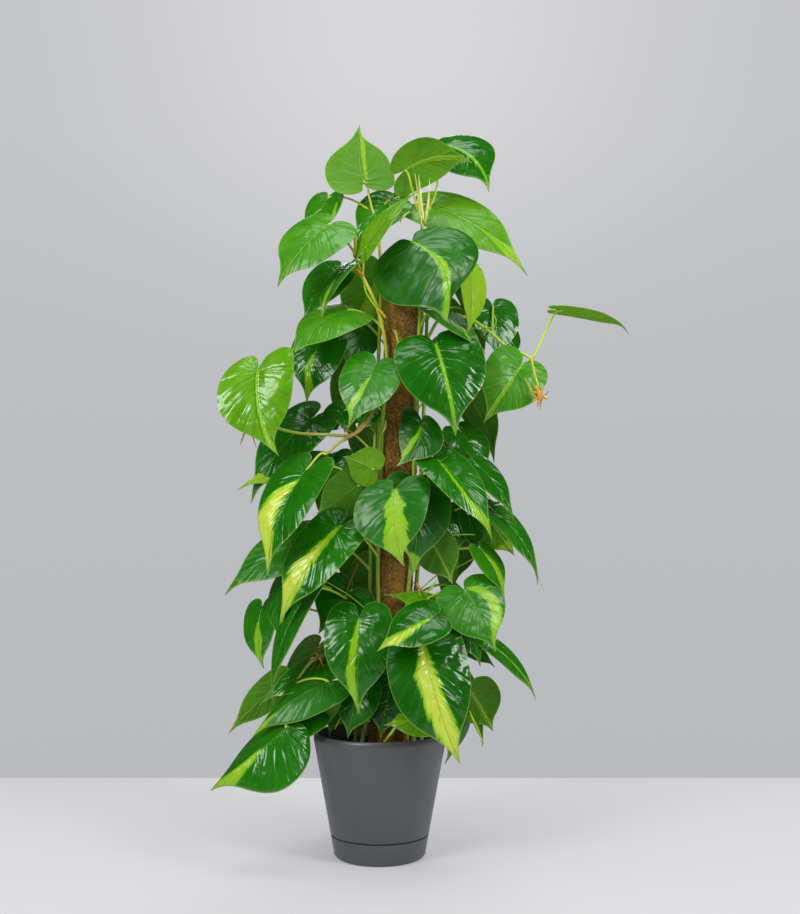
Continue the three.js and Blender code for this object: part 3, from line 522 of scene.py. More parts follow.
def back_leaves():
    """Leaves of the far side, turn by turn up the pole, each facing away from it."""
    random = seeded(BACK_SEED)
    looks = np.random.default_rng(41)

    def spread(size):
        return size * (next(random) - 0.5)

    def pick(least, more):
        return least + more * next(random)

    leaves = []
    for i in range(BACK_LEAVES):
        azimuth = math.radians(180 + BACK_TURNS[i % len(BACK_TURNS)] + spread(14))
        z = BACK_FIRST + i * BACK_STEP
        out = np.array([math.sin(azimuth), -math.cos(azimuth), 0.0])
        side = np.array([math.cos(azimuth), math.sin(azimuth), 0.0])
        base = np.array([pole_x(z), 0.0, z]) + out * pick(*BACK_REACH)
        tip = base + out * pick(*BACK_OUT)
        tip += side * spread(80)
        tip[2] -= pick(*BACK_DROP)
        wide = pick(*BACK_WIDE)
        face = out + side * spread(0.9)
        face[2] = pick(*BACK_LIFT)
        bend = pick(*BACK_BEND)
        aside, width = looks.uniform(-0.3, 0.3), looks.uniform(0.06, 0.34)
        stripe = [[0, 0.02, 0.03], [aside * 0.5, 0.3, width * 0.5], [aside, 0.6, width], [0, 1, 0.12]]
        on = "back_left" if azimuth > math.pi else "back_right"
        leaves.append(Leaf(f"back_{i + 1}", on, base, tip, wide, unit(face), bend, fold=0.2, sweep=0.0,
                           tone=looks.uniform(0.1, 0.55), hook=0.03, skew=0.0,
                           stripes=stripe if looks.random() < 0.75 else []))
    return leaves


def read_leaf(row):
    """One row of LEAVES as a leaf with true points."""
    name, on, base, tip, wide, (right, rise), form, look, stripes = row
    bend, fold, sweep = form if len(form) > 1 else (*form, 0.2, 0)
    tone, hook, skew = look if len(look) > 1 else (*look, 0.02, 0)
    a, h = math.radians(right), math.radians(rise)
    face = np.array([math.sin(a) * math.cos(h), -math.cos(a) * math.cos(h), math.sin(h)])
    return Leaf(name, on, seen(base), seen(tip), wide, face, bend, fold, sweep, tone, hook, skew, stripes)


def all_leaves():
    """The leaves of the front elevation, then those of the far side."""
    return [read_leaf(row) for row in LEAVES] + back_leaves()


def blade_axes(leaf):
    """Chord length and the directions along the chord, out of the upper face and across it."""
    chord = leaf.tip - leaf.base
    length = np.linalg.norm(chord)
    along = chord / length
    face = unit(leaf.face - leaf.face @ along * along)
    return length, along, face, np.cross(face, along)


def stripe_field(stripes, t, y, half, length):
    """Millimetres inside the nearest stripe: the stripe's half width less the distance to its line,
    whose pieces run straight from station to station. With it, how far its edge frays, which is full
    from a half width of FULL_FRAY on."""
    best, fray = np.full(t.shape, NO_STRIPE), np.ones(t.shape)
    at = np.stack([t * half, y * length], -1)
    for a, b in zip(stripes[:-1], stripes[1:]):
        start, end = np.array([a[0] * half, a[1] * length]), np.array([b[0] * half, b[1] * length])
        run = end - start
        u = np.clip(((at - start) @ run) / max(run @ run, 1e-9), 0, 1)
        gap = np.linalg.norm(at - start - u[..., None] * run, axis=-1)
        wide = (a[2] + (b[2] - a[2]) * u) * half
        fray = np.where(wide - gap > best, np.clip(wide / FULL_FRAY, 0.1, 1), fray)
        best = np.maximum(best, wide - gap)
    return best, fray


@functools.cache
def blade_faces(rows, columns):
    """Quads, triangles and their two lists of finish numbers: an upper skin, the lower one below it and the
    band that joins them. A skin is the grid's rows between the first and the last, then heel and tip."""
    n = (rows - 2) * columns
    under = n + 2
    quads = grid(rows - 2, columns)[:, [0, 3, 2, 1]]
    j = np.arange(columns - 1)
    heel, tip, last = np.full(columns - 1, n), np.full(columns - 1, n + 1), n - columns + j
    fans = np.concatenate([np.stack([heel, j, j + 1], -1), np.stack([tip, last + 1, last], -1)])
    left = np.concatenate([[n], np.arange(rows - 2) * columns, [n + 1]])
    right = left.copy()
    right[1:-1] += columns - 1
    band = np.concatenate([np.stack([left[:-1], left[:-1] + under, left[1:] + under, left[1:]], -1),
                           np.stack([right[:-1], right[1:], right[1:] + under, right[:-1] + under], -1)])
    return (np.concatenate([quads, quads[:, ::-1] + under, band]),
            np.concatenate([fans, fans[:, ::-1] + under]),
            np.repeat([0, 1, 0], [len(quads), len(quads), len(band)]), np.repeat([0, 1], len(fans)))


def add_blade(surface, leaf, thickness, rows=50, columns=27):
    """One blade. Row s follows the vein that ends at outline point s, column t runs from the left margin
    (-1) to the right (1). Across = half width * outline * t; along = vein foot + (margin - foot) * |t|^1.3;
    it rises by fold * |t| less droop * t^2, is quilted between its veins, bends into an arc along its
    chord, and its margin waves. The second skin lies one thickness below, and a band closes the margin."""
    length, along, face, across = blade_axes(leaf)
    half = leaf.wide / 2
    bend = math.radians(leaf.bend)
    radius = length / (2 * math.sin(bend / 2))
    rng = np.random.default_rng(sum(ord(c) * 31 ** i for i, c in enumerate(leaf.name)))
    phase, waves, depth = rng.uniform(0, TURN), rng.uniform(1.2, 2.4), rng.uniform(0.015, 0.05)

    outline = through(HALF_HEART, rows)
    s = np.linspace(0, 1, rows)[:, None]
    t = np.linspace(-1, 1, columns)[None, :] * np.ones((rows, 1))
    size = np.abs(t)
    wide, reach, foot = (outline[:, i][:, None] for i in range(3))
    y = foot + (reach - foot) * size ** VEIN_CURVE
    middle = leaf.skew * (1 - t ** 2) * 4 * np.clip(y, 0, 1) * (1 - np.clip(y, 0, 1))
    x = half * (wide * t + middle) + leaf.sweep * length * 4 * y * (1 - y)
    rise = half * wide * (leaf.fold * size - DROOP * size ** 2)
    ripple = np.sin(2 * np.pi * waves * s + phase + (t > 0) * 2.1)
    rise += half * depth * size ** MARGIN_CURVE * wide * ripple
    quilt = np.abs(np.sin(np.pi * (QUILTS * s + 0.5 * np.sin(phase + 7 * s) + 0.25 * np.sign(t))))
    rise += (1.1 * quilt - 0.6) * np.sin(np.pi * size ** 0.8) * wide * half / QUILT_SCALE
    hook = leaf.hook * length * (np.clip(y - TIP_FROM, 0, 1) / (1 - TIP_FROM)) ** 2

    def skin(offset):
        turn = (y - 0.5) * bend
        out = radius * (np.cos(turn) - math.cos(bend / 2)) + (rise + offset) * np.cos(turn) - hook
        forward = radius * (np.sin(turn) + math.sin(bend / 2)) + (rise + offset) * np.sin(turn) - 0.5 * hook
        return leaf.base + forward[..., None] * along + out[..., None] * face + x[..., None] * across

    place = np.stack([half * wide * t, y * length, half * wide * (1 - size)], -1)
    vein = np.stack([t * half, s * 1.35 * length * np.ones_like(t), np.full(t.shape, phase * 40)], -1)
    inside, fray = stripe_field(leaf.stripes, t * wide, y, half, length)
    paint = np.stack([inside, np.full(t.shape, leaf.tone), fray], -1)
    wax = np.zeros((*t.shape, 3)) + [leaf.name in DULL, leaf.name in CREAMY, 0]

    def gathered(field):
        """The field's values in the order of blade_faces: the rows between, then the heel and the tip."""
        middle = columns // 2
        return np.concatenate([field[1:-1].reshape(-1, 3), field[:1, middle], field[-1:, middle]])

    points = np.concatenate([gathered(skin(thickness / 2)), gathered(skin(-thickness / 2))])
    fields = {k: np.tile(gathered(v), (2, 1)) for k, v in zip(BLADE_FIELDS, (place, vein, paint, wax))}
    surface.add(points, *blade_faces(rows, columns), **fields)


def petiole_path(leaf, stem):
    """Centres of a petiole: a cubic from the stem a little below the leaf, rising outwards and turning
    over into the blade."""
    base = leaf.base
    reach = math.hypot(base[0] - pole_x(base[2]), base[1])
    wanted = base - [0, 0, 0.4 * min(reach, LONG_REACH)]
    wanted[2] = max(wanted[2], LOWEST_PETIOLE)
    root = stem[np.argmin(np.linalg.norm(stem - wanted, axis=1))]
    span = np.linalg.norm(base - root)
    _, along, face, _ = blade_axes(leaf)
    rise = math.radians(leaf.bend / 2)
    out = unit((base - root) * [1, 1, 0])
    sunk = base + along * 2.5 * math.cos(rise) + face * (2.5 * math.sin(rise) - 0.7)
    a, b, c, d = root, root + out * 0.22 * span, base + [0, 0, 0.1 * span] - out * 0.16 * span, sunk
    b = b + [0, 0, 0.3 * span]
    u = np.linspace(0, 1, 16)[:, None]
    return (1 - u) ** 3 * a + 3 * u * (1 - u) ** 2 * b + 3 * u ** 2 * (1 - u) * c + u ** 3 * d


# Finishes

def add_node(tree, kind, *inputs, out=0, stops=(), **settings):
    """Adds a shader node with its settings and colour stops, gives its inputs values or links, in their
    order or by name, and returns one of its outputs. A colour is linear numbers, or sRGB hex text."""
    made = tree.nodes.new("ShaderNode" + kind)
    for key, value in settings.items():
        setattr(made, key, value)
    named = inputs[0] if inputs and isinstance(inputs[0], dict) else dict(enumerate(inputs))
    for key, value in named.items():
        socket = made.inputs[key]
        if isinstance(value, bpy.types.NodeSocket):
            tree.links.new(value, socket)
        else:
            value = linear(value) if isinstance(value, str) else value
            socket.default_value = (*value, 1) if socket.type == "RGBA" else value
    if stops:
        elements = made.color_ramp.elements
        for _ in stops[2:]:
            elements.new(0.5)
        for element, (position, colour) in zip(elements, stops):
            element.position = position
            element.color = (*(linear(colour) if isinstance(colour, str) else colour), 1)
    return made.outputs[out] if made.outputs else made


def finish(name):
    """A new material, and the function that adds nodes to it."""
    made = bpy.data.materials.new(name)
    made.use_nodes = True
    made.node_tree.nodes.clear()
    return made, functools.partial(add_node, made.node_tree)


TIMES, PLUS = {"operation": "MULTIPLY"}, {"operation": "ADD"}
SIZE = {"operation": "ABSOLUTE"}
SMOOTH = {"interpolation_type": "SMOOTHSTEP"}
BLEND = {"data_type": "RGBA", "out": 2}

# The two sides of a blade. Greens: the middle stops of their ramp. Tones: of the side veins, the fine
# streaks, the stripe's border, the midrib and the margin. Relief: of the side veins and of the midrib.
# Rough: from, to, and what a dull cuticle adds. Gloss: the specular level.
UPPER = {"name": "waxy_leaf_upper", "greens": [(0.3, "#238002"), (0.6, "#4a9e06")],
         "tones": ["#56a018", "#145204", "#3d8e04", "#78b428", "#8fb84a"], "relief": (0.4, -0.7),
         "rough": (0.15, 0.25, 0.13), "gloss": 0.85}
UNDER = {"name": "waxy_leaf_underside", "greens": [(0, "#3f7414"), (0.5, "#5c9c1a"), (1, "#8cc820")],
         "tones": ["#86b83a", "#4f8420", "#62961a", "#b4d060", "#8fb84a"], "relief": (-0.5, 1.4),
         "rough": (0.42, 0.55, 0.05), "gloss": 0.35}


def leaf_skin(settings, look):
    """Living leaf blade with a waxy cuticle. The upper side is deep green and wet-glossy, with sunken
    veins, a lime stripe that frays along them, and a thin pale margin. The underside is yellower and
    softer, and its veins stand out. place is [across, along, in from the margin], vein is [out, along the
    midrib, seed] and paint is [inside the stripe, tone, fray], the lengths in mm. wax is [1 on a dull
    blade, 1 where the stripe is creamy, unused]."""
    made, add = finish(look["name"])
    (across, along, margin), (out, vein, seed), (stripe, tone, fray), (dull, creamy, _) = (
        add("SeparateXYZ", add("Attribute", attribute_name=name, out="Vector")).node.outputs
        for name in BLADE_FIELDS)
    vein_tone, streak_tone, border_tone, rib_tone, edge_tone = look["tones"]

    # Broad streaks 8 mm wide and 45 mm long follow the veins, and fine ones are 1.8 mm wide and 30 mm long
    broad, fine = (
        add("TexNoise", {0: add("CombineXYZ", add("Math", out, 1 / long, **TIMES),
                                add("Math", vein, 1 / wide, **TIMES), seed), "Scale": 1.0, "Detail": 1.5})
        for wide, long in ((8.0, 45.0), (1.8, 30.0)))
    # Clouds of green about 28 mm across, and blisters of the blade about 17 mm across
    cloud, blister = (add("TexNoise", {0: add("CombineXYZ", across, along, seed), "Scale": 1 / wide,
                                       "Detail": detail, "Distortion": twist})
                      for wide, detail, twist in ((28, 2.0, 0.0), (17, 0.7, 0.3)))
    # Side veins about 13 mm apart along the midrib
    wander = add("Math", vein, add("Math", cloud, 8.0, **TIMES), **PLUS)
    wave = add("Math", add("Math", add("Math", wander, math.pi / 13, **TIMES), operation="SINE"), **SIZE)
    ridge = add("MapRange", wave, 0.12, 0.0, 0.0, 1.0, **SMOOTH)
    rib = add("MapRange", add("Math", across, 0.0, **SIZE), 1.2, 0.2, 0.0, 1.0, **SMOOTH)
    ragged = add("Math", add("MapRange", broad, 0.0, 1.0, -6.0, 6.0),
                 add("MapRange", fine, 0.0, 1.0, -2.6, 2.6), **PLUS)
    frayed = add("Math", stripe, add("Math", ragged, fray, **TIMES), **PLUS)

    # The tone holds age and, for some blades, painted light and shade; clouds of green vary it
    aged = add("Math", tone, add("MapRange", cloud, 0.0, 1.0, -0.22, 0.22), use_clamp=True, **PLUS)
    greens = look["greens"]
    if look is UPPER:
        greens = [(0, settings.dark), *greens, (1, settings.light)]
    # Flecks of green are left inside a wide stripe
    fleck = add("Math", add("MapRange", fine, 0.6, 0.68, 0.0, 0.8, **SMOOTH),
                add("MapRange", broad, 0.46, 0.6, 0.0, 1.0, **SMOOTH), **TIMES)
    creamy = add("Math", add("MapRange", frayed, 0.5, 6.0, 0.0, 1.0, **SMOOTH),
                 add("MapRange", creamy, 0.0, 1.0, 0.18, 0.85), **TIMES)
    # Each layer covers the ones before it by its amount
    lime = settings.stripe
    for amount, over in ((creamy, settings.cream), (fleck, "#559c0c"),
                         (0.0 if look is UPPER else 0.45, "#8fb534")):
        lime = add("Mix", {0: amount, 6: lime, 7: over}, **BLEND)
    colour = add("ValToRGB", aged, stops=greens)
    for amount, over in ((add("Math", ridge, 0.3, **TIMES), vein_tone),
                         (add("MapRange", fine, 0.45, 0.75, 0.0, 0.35, **SMOOTH), streak_tone),
                         (add("MapRange", frayed, -2.4, -0.6, 0.0, 1.0, **SMOOTH), border_tone),
                         (add("MapRange", frayed, -0.3, 0.3, 0.0, 1.0, **SMOOTH), lime),
                         (add("Math", rib, 0.45, **TIMES), rib_tone),
                         (add("MapRange", margin, 1.0, 0.3, 0.0, 0.6, **SMOOTH), edge_tone)):
        colour = add("Mix", {0: amount, 6: colour, 7: over}, **BLEND)

    # The upper side is puckered between sunken veins; below, the veins and the midrib stand proud
    height = add("MapRange", wave, 0.0, 0.6, 0.0, look["relief"][0], **SMOOTH)
    for more in (add("MapRange", broad, 0.0, 1.0, 0.0, 1.6), add("MapRange", blister, 0.0, 1.0, 0.0, 3.8),
                 add("MapRange", fine, 0.0, 1.0, 0.0, 0.18), add("Math", rib, look["relief"][1], **TIMES)):
        height = add("Math", height, more, **PLUS)
    bump = add("Bump", {"Height": height, "Strength": 0.7, "Distance": 1.0 * MM})
    smooth, rough, duller = look["rough"]
    rough = add("Math", add("MapRange", cloud, 0.35, 0.65, smooth, rough),
                add("Math", dull, duller, **TIMES), **PLUS)
    shader = add("BsdfPrincipled", {
        "Base Color": colour, "Roughness": rough, "IOR": 1.45, "Specular IOR Level": look["gloss"],
        "Specular Tint": "#f4fff0", "Normal": bump})
    glow = add("BsdfTranslucent", add("Mix", {0: 0.5, 6: colour, 7: "#8cc41c"}, **BLEND), bump)
    add("OutputMaterial", {"Surface": add("MixShader", 0.28, shader, glow)})
    return made


def stem_skin():
    """Stem and petiole skin: smooth and faintly ribbed. age is [from 0, lime green, to 1, corky brown, how
    yellow it is, unused]."""
    made, add = finish("philodendron_stem_skin")
    age, yellow, _ = add("SeparateXYZ", add("Attribute", attribute_name="age", out="Vector")).node.outputs
    place = add("TexCoord", out="Object")
    # Blotches about 12 mm long and corky specks about 2 mm wide
    blotch = add("TexNoise", {0: place, "Scale": 1 / (12 * MM), "Detail": 3.0})
    speck = add("TexNoise", {0: place, "Scale": 1 / (2 * MM), "Detail": 2.0})
    aged = add("Math", age, add("MapRange", blotch, 0.0, 1.0, -0.16, 0.16), use_clamp=True, **PLUS)
    colour = add("ValToRGB", aged, stops=[(0, "#b8dc34"), (0.25, "#98c636"), (0.5, "#98ae3c"),
                                          (0.72, "#a07c38"), (1, "#6a4a22")])
    colour = add("Mix", {0: yellow, 6: colour, 7: "#d2c62e"}, **BLEND)
    colour = add("Mix", {0: add("MapRange", speck, 0.56, 0.72, 0.0, 0.3, **SMOOTH), 6: colour,
                         7: "#c7c98a"}, **BLEND)
    bump = add("Bump", {"Height": speck, "Strength": 0.3, "Distance": 0.3 * MM})
    add("OutputMaterial", {"Surface": add("BsdfPrincipled", {
        "Base Color": colour, "Roughness": 0.38, "Subsurface Weight": 0.1,
        "Subsurface Radius": (0.0012, 0.0016, 0.0004), "Normal": bump})})
    return made


def plastic(settings):
    """Injection-moulded polypropylene, dark grey: a satin skin with a fine even grain that softens each
    highlight."""
    made, add = finish("moulded_polypropylene")
    place = add("TexCoord", out="Object")
    # Mould grain 1.2 mm across, and gloss that varies in clouds 40 mm across
    grain = add("TexNoise", {0: place, "Scale": 1 / (1.2 * MM), "Detail": 2.0})
    cloud = add("TexNoise", {0: place, "Scale": 1 / (40 * MM), "Detail": 2.0})
    base = tuple(settings.tone)
    colour = add("ValToRGB", grain, stops=[(0.3, tuple(0.88 * v for v in base)), (0.7, base)])
    bump = add("Bump", {"Height": grain, "Strength": 0.3, "Distance": 0.15 * MM})
    add("OutputMaterial", {"Surface": add("BsdfPrincipled", {
        "Base Color": colour, "Roughness": add("MapRange", cloud, 0.3, 0.7, 0.36, 0.43), "IOR": 1.49,
        "Specular IOR Level": 0.8, "Normal": bump})})
    return made


def coir(settings, loose):
    """Needled coconut fibre mat: golden red-brown, with paler straw fibres and, on the mat, painted shade
    in the gaps between them.
    """
    made, add = finish("coir_fibre" if loose else "coir_mat")
    place = add("TexCoord", out="Object")
    base = tuple(settings.coir)
    # Felted fibres 1 mm thick that cross at all angles, and lumps 9 mm across
    mat = add("TexNoise", {0: place, "Scale": 1 / (3.0 * MM), "Detail": 5.0, "Distortion": 2.5})
    lump = add("TexNoise", {0: place, "Scale": 1 / (9 * MM), "Detail": 2.0})
    if loose:
        shade = add("SeparateXYZ", add("Attribute", attribute_name="shade", out="Vector"))
        colour = add("ValToRGB", shade, stops=[(0, "#5e4014"), (0.4, base), (0.8, "#e6bc62"),
                                               (1, "#f6e0a0")])
    else:
        # The darkest stop is painted shade in the gaps between the fibres
        colour = add("ValToRGB", mat, stops=[(0.36, "#3a260c"), (0.5, "#946a26"), (0.64, base)])
    colour = add("Mix", {0: add("MapRange", lump, 0.3, 0.8, 0.0, 0.6), 6: colour, 7: "#6a4a1a"}, **BLEND)
    bump = add("Bump", {"Height": mat, "Strength": 0.9, "Distance": 1.5 * MM})
    add("OutputMaterial", {"Surface": add("BsdfPrincipled", {
        "Base Color": colour, "Roughness": 0.85, "Specular IOR Level": 0.25, "Normal": bump})})
    return made


def stake_wood():
    """Sawn and rounded pine stake: straw-brown, with darker grain lines along it."""
    made, add = finish("pine_stake")
    # Grain lines 1.5 mm apart and about 60 mm long
    grain = add("TexNoise", {0: add("Mapping", {0: add("TexCoord", out="Object"), "Scale": (
        1 / (1.5 * MM), 1 / (1.5 * MM), 1 / (60 * MM))}), "Scale": 1.0, "Detail": 3.0})
    colour = add("ValToRGB", grain, stops=[(0.35, "#7c5a34"), (0.65, "#b58c58")])
    add("OutputMaterial", {"Surface": add("BsdfPrincipled", {"Base Color": colour, "Roughness": 0.75})})
    return made


def potting_mix():
    """Damp peat and bark mix: nearly black-brown crumbs with some paler bark."""
    made, add = finish("potting_mix")
    place = add("TexCoord", out="Object")
    # Crumbs 3 mm across with grain 1.2 mm across
    tone = add("SeparateColor", add("TexVoronoi", {0: place, "Scale": 1 / (3 * MM)}, out="Color"))
    grain = add("TexNoise", {0: place, "Scale": 1 / (1.2 * MM), "Detail": 4.0})
    colour = add("ValToRGB", tone, stops=[(0, "#140e0a"), (0.6, "#2a1c12"), (0.9, "#4a3420"),
                                          (1, "#6d5334")])
    colour = add("Mix", {0: add("Math", grain, 0.5, **TIMES), 6: colour, 7: "#1c130c"}, **BLEND)
    bump = add("Bump", {"Height": grain, "Strength": 0.8, "Distance": 1.0 * MM})
    add("OutputMaterial", {"Surface": add("BsdfPrincipled", {"Base Color": colour, "Roughness": 0.9,
                                                            "Normal": bump})})
    return made


def tissue(name, pale, deep, rough):
    """Thin plant tissue with fine lengthwise ribs: a fresh sheath, a dried one or an aerial root."""
    made, add = finish(name)
    # Ribs about 0.8 mm apart and 14 mm long
    ribs = add("TexNoise", {0: add("Mapping", {0: add("TexCoord", out="Object"), "Scale": (
        1 / (0.8 * MM), 1 / (0.8 * MM), 1 / (14 * MM))}), "Scale": 1.0, "Detail": 2.0})
    colour = add("ValToRGB", ribs, stops=[(0.35, deep), (0.62, pale)])
    bump = add("Bump", {"Height": ribs, "Strength": 0.4, "Distance": 0.3 * MM})
    add("OutputMaterial", {"Surface": add("BsdfPrincipled", {
        "Base Color": colour, "Roughness": rough, "Subsurface Weight": 0.15,
        "Subsurface Radius": (0.002, 0.002, 0.0008), "Normal": bump})})
    return made


# Pieces

class PLANT_OT_pot(bpy.types.Operator):
    """Pot with a turned-in rim and drain holes, standing in its flush saucer"""
    bl_idname = "plant.pot"
    bl_label = "Pot and saucer"

    def execute(self, context):
        size = context.scene.plant_pot
        height, rim, foot, wall, lip = (
            v / MM for v in (size.height, size.rim, size.foot, size.wall, size.saucer))
        lean = (rim - foot) / (height - 8 - lip)

        def at(z):
            """Radius of the taper at height z."""
            return foot + lean * (z - lip)

        # The saucer's bore, the pot's step inside it, the pot's underside and the shoulder over the groove
        cup = at(lip) - 2.2
        ledge = cup - 1.8
        base = 3.4
        shoulder = lip + 1.1
        skin = plastic(size)
        saucer = Surface()
        corner = [[54.4, 0.1], [55.7, 0.7], [56.8, 1.9], [57.7, 3.8], [58.4, 6.2]]
        add_turned(saucer, [[0, 0], [40, 0], [53, 0], *corner, [at(9), 9], [at(18), 18],
                            [at(lip - 0.9), lip - 0.9], [at(lip) - 0.25, lip - 0.25], [at(lip) - 0.8, lip],
                            [cup + 0.3, lip], [cup, lip - 0.4], [cup - 1.8, 4.4], [cup - 2.4, 3.3],
                            [cup - 3.2, 3], [30, 3], [0, 3]], POT_SIDES)
        saucer.make("saucer_shell", [skin], "saucer_plastic", "saucer", 40)
        # The rim is turned in by 2.8 mm
        pot = Surface()
        turn_in = 2.8
        add_turned(pot, [[0, base], [44, base], [ledge - 3.4, base], [ledge - 3, base + 0.3],
                         [ledge, shoulder - 2.4], [cup - 0.4, shoulder - 0.3], [cup + 0.1, shoulder],
                         [at(shoulder) - 0.7, shoulder], [at(shoulder) - 0.15, shoulder + 0.3],
                         [at(shoulder + 0.8), shoulder + 0.8], [at(60), 60], [at(100), 100],
                         [at(height - 8), height - 8], [rim, height - 5.6], [rim - 0.25, height - 3.4],
                         [rim - 0.9, height - 1.6], [rim - 1.9, height - 0.4], [rim - turn_in, height],
                         [rim - turn_in - 1.2, height], [rim - turn_in - 1.9, height - 0.5],
                         [rim - turn_in - 2.4, height - 3], [at(100) - wall - 1.4, 100],
                         [at(shoulder) - wall - 1.4, shoulder + 1], [ledge - wall - 3, base + 3.4],
                         [ledge - wall - 3.4, base + 3], [44, base + 3], [0, base + 3]], POT_SIDES)
        shell = pot.make("pot_shell", [skin], "pot_plastic", "pot", 40)
        self.drill(context, shell, base)
        return {"FINISHED"}

    def drill(self, context, shell, base):
        """Cuts the four drain holes with pins that stand through the pot's floor."""
        angle = (np.arange(4) + 0.5) * np.pi / 2
        feet = np.stack([DRAIN_RING * np.cos(angle), DRAIN_RING * np.sin(angle), np.full(4, base - 2)], -1)
        pins = Surface()
        add_tubes(pins, feet[:, None] + np.linspace(0, 8, 3)[None, :, None] * [0, 0, 1], DRAIN_RADIUS, 24)
        cutter = pins.make("drain_pins", [], "pot_plastic")
        cut = shell.modifiers.new("drain", "BOOLEAN")
        cut.operation, cut.object, cut.solver = "DIFFERENCE", cutter, "EXACT"
        result = bpy.data.meshes.new_from_object(shell.evaluated_get(context.evaluated_depsgraph_get()))
        shell.modifiers.clear()
        shell.data = result
        bpy.data.objects.remove(cutter)


class PLANT_OT_soil(bpy.types.Operator):
    """Potting mix, crumbled at the top and a little hollow towards the wall"""
    bl_idname = "plant.soil"
    bl_label = "Soil"

    def execute(self, context):
        top = context.scene.plant_pole.soil_top / MM
        profile = np.array([[0, 6.8], [44, 6.8], [52.6, 6.9], [58.0, 30.6], [68, 80], [74.6, 118],
                            [76.6, top - 7], [77.0, top - 4], [75.4, top - 1.6]])
        across = np.linspace(73, 1.5, SOIL_RINGS)
        flat = np.stack([across, np.full(SOIL_RINGS, top - 0.6)], -1)
        profile = np.concatenate([profile, flat, [[0, top - 0.4]]])
        rows, sides = len(profile) - 2, SOIL_SIDES
        x, y = profile[1:-1, :1] * circle(sides).T[:2, None]
        shift = np.zeros((rows, sides, 3))
        rng = np.random.default_rng(7)
        # Waves of four lengths, five of each, that die out towards the wall
        wave = np.zeros((rows, sides))
        for length, depth in ((31, 0.9), (14, 0.7), (7, 0.55), (4.2, 0.45)):
            for _ in range(5):
                way, phase = rng.uniform(0, TURN), rng.uniform(0, TURN)
                run = x * math.cos(way) + y * math.sin(way)
                wave += depth * 0.45 * np.sin(run * TURN / length + phase)
        loose = np.clip((76.0 - profile[1:-1, :1]) / 8, 0, 1) * (profile[1:-1, 1:] > top - 3)
        shift[..., 2] = np.clip(wave, -2.2, 2.4) * loose
        soil = Surface()
        add_turned(soil, profile, sides, shift)
        # Crumbs of bark and grit: six-sided lumps 1.2 to 3.4 mm across
        radius, where = 74 * np.sqrt(rng.random(CRUMBS)), rng.random(CRUMBS) * TURN
        keep = np.hypot(radius * np.cos(where) - POLE_FOOT, radius * np.sin(where)) > CLEAR_OF_POLE
        radius, where = radius[keep], where[keep]
        centre = np.stack([radius * np.cos(where), radius * np.sin(where),
                           np.full(len(radius), top + 0.2)], -1)
        size = rng.uniform(0.6, 1.7, (len(radius), 1))
        way = unit(rng.normal(size=(len(radius), 3)) * [1, 1, 0.5])
        at = np.array([-1, -0.8, -0.3, 0.3, 0.8, 1.0])[None, :, None]
        thick = size * np.array([0.1, 0.55, 0.9, 1.0, 0.5, 0.1])[None, :]
        add_tubes(soil, centre[:, None] + at * way[:, None] * size[..., None] * 1.2, thick, 6)
        soil.make("soil_surface", [potting_mix()], "potting_mix", "soil", 180)
        return {"FINISHED"}


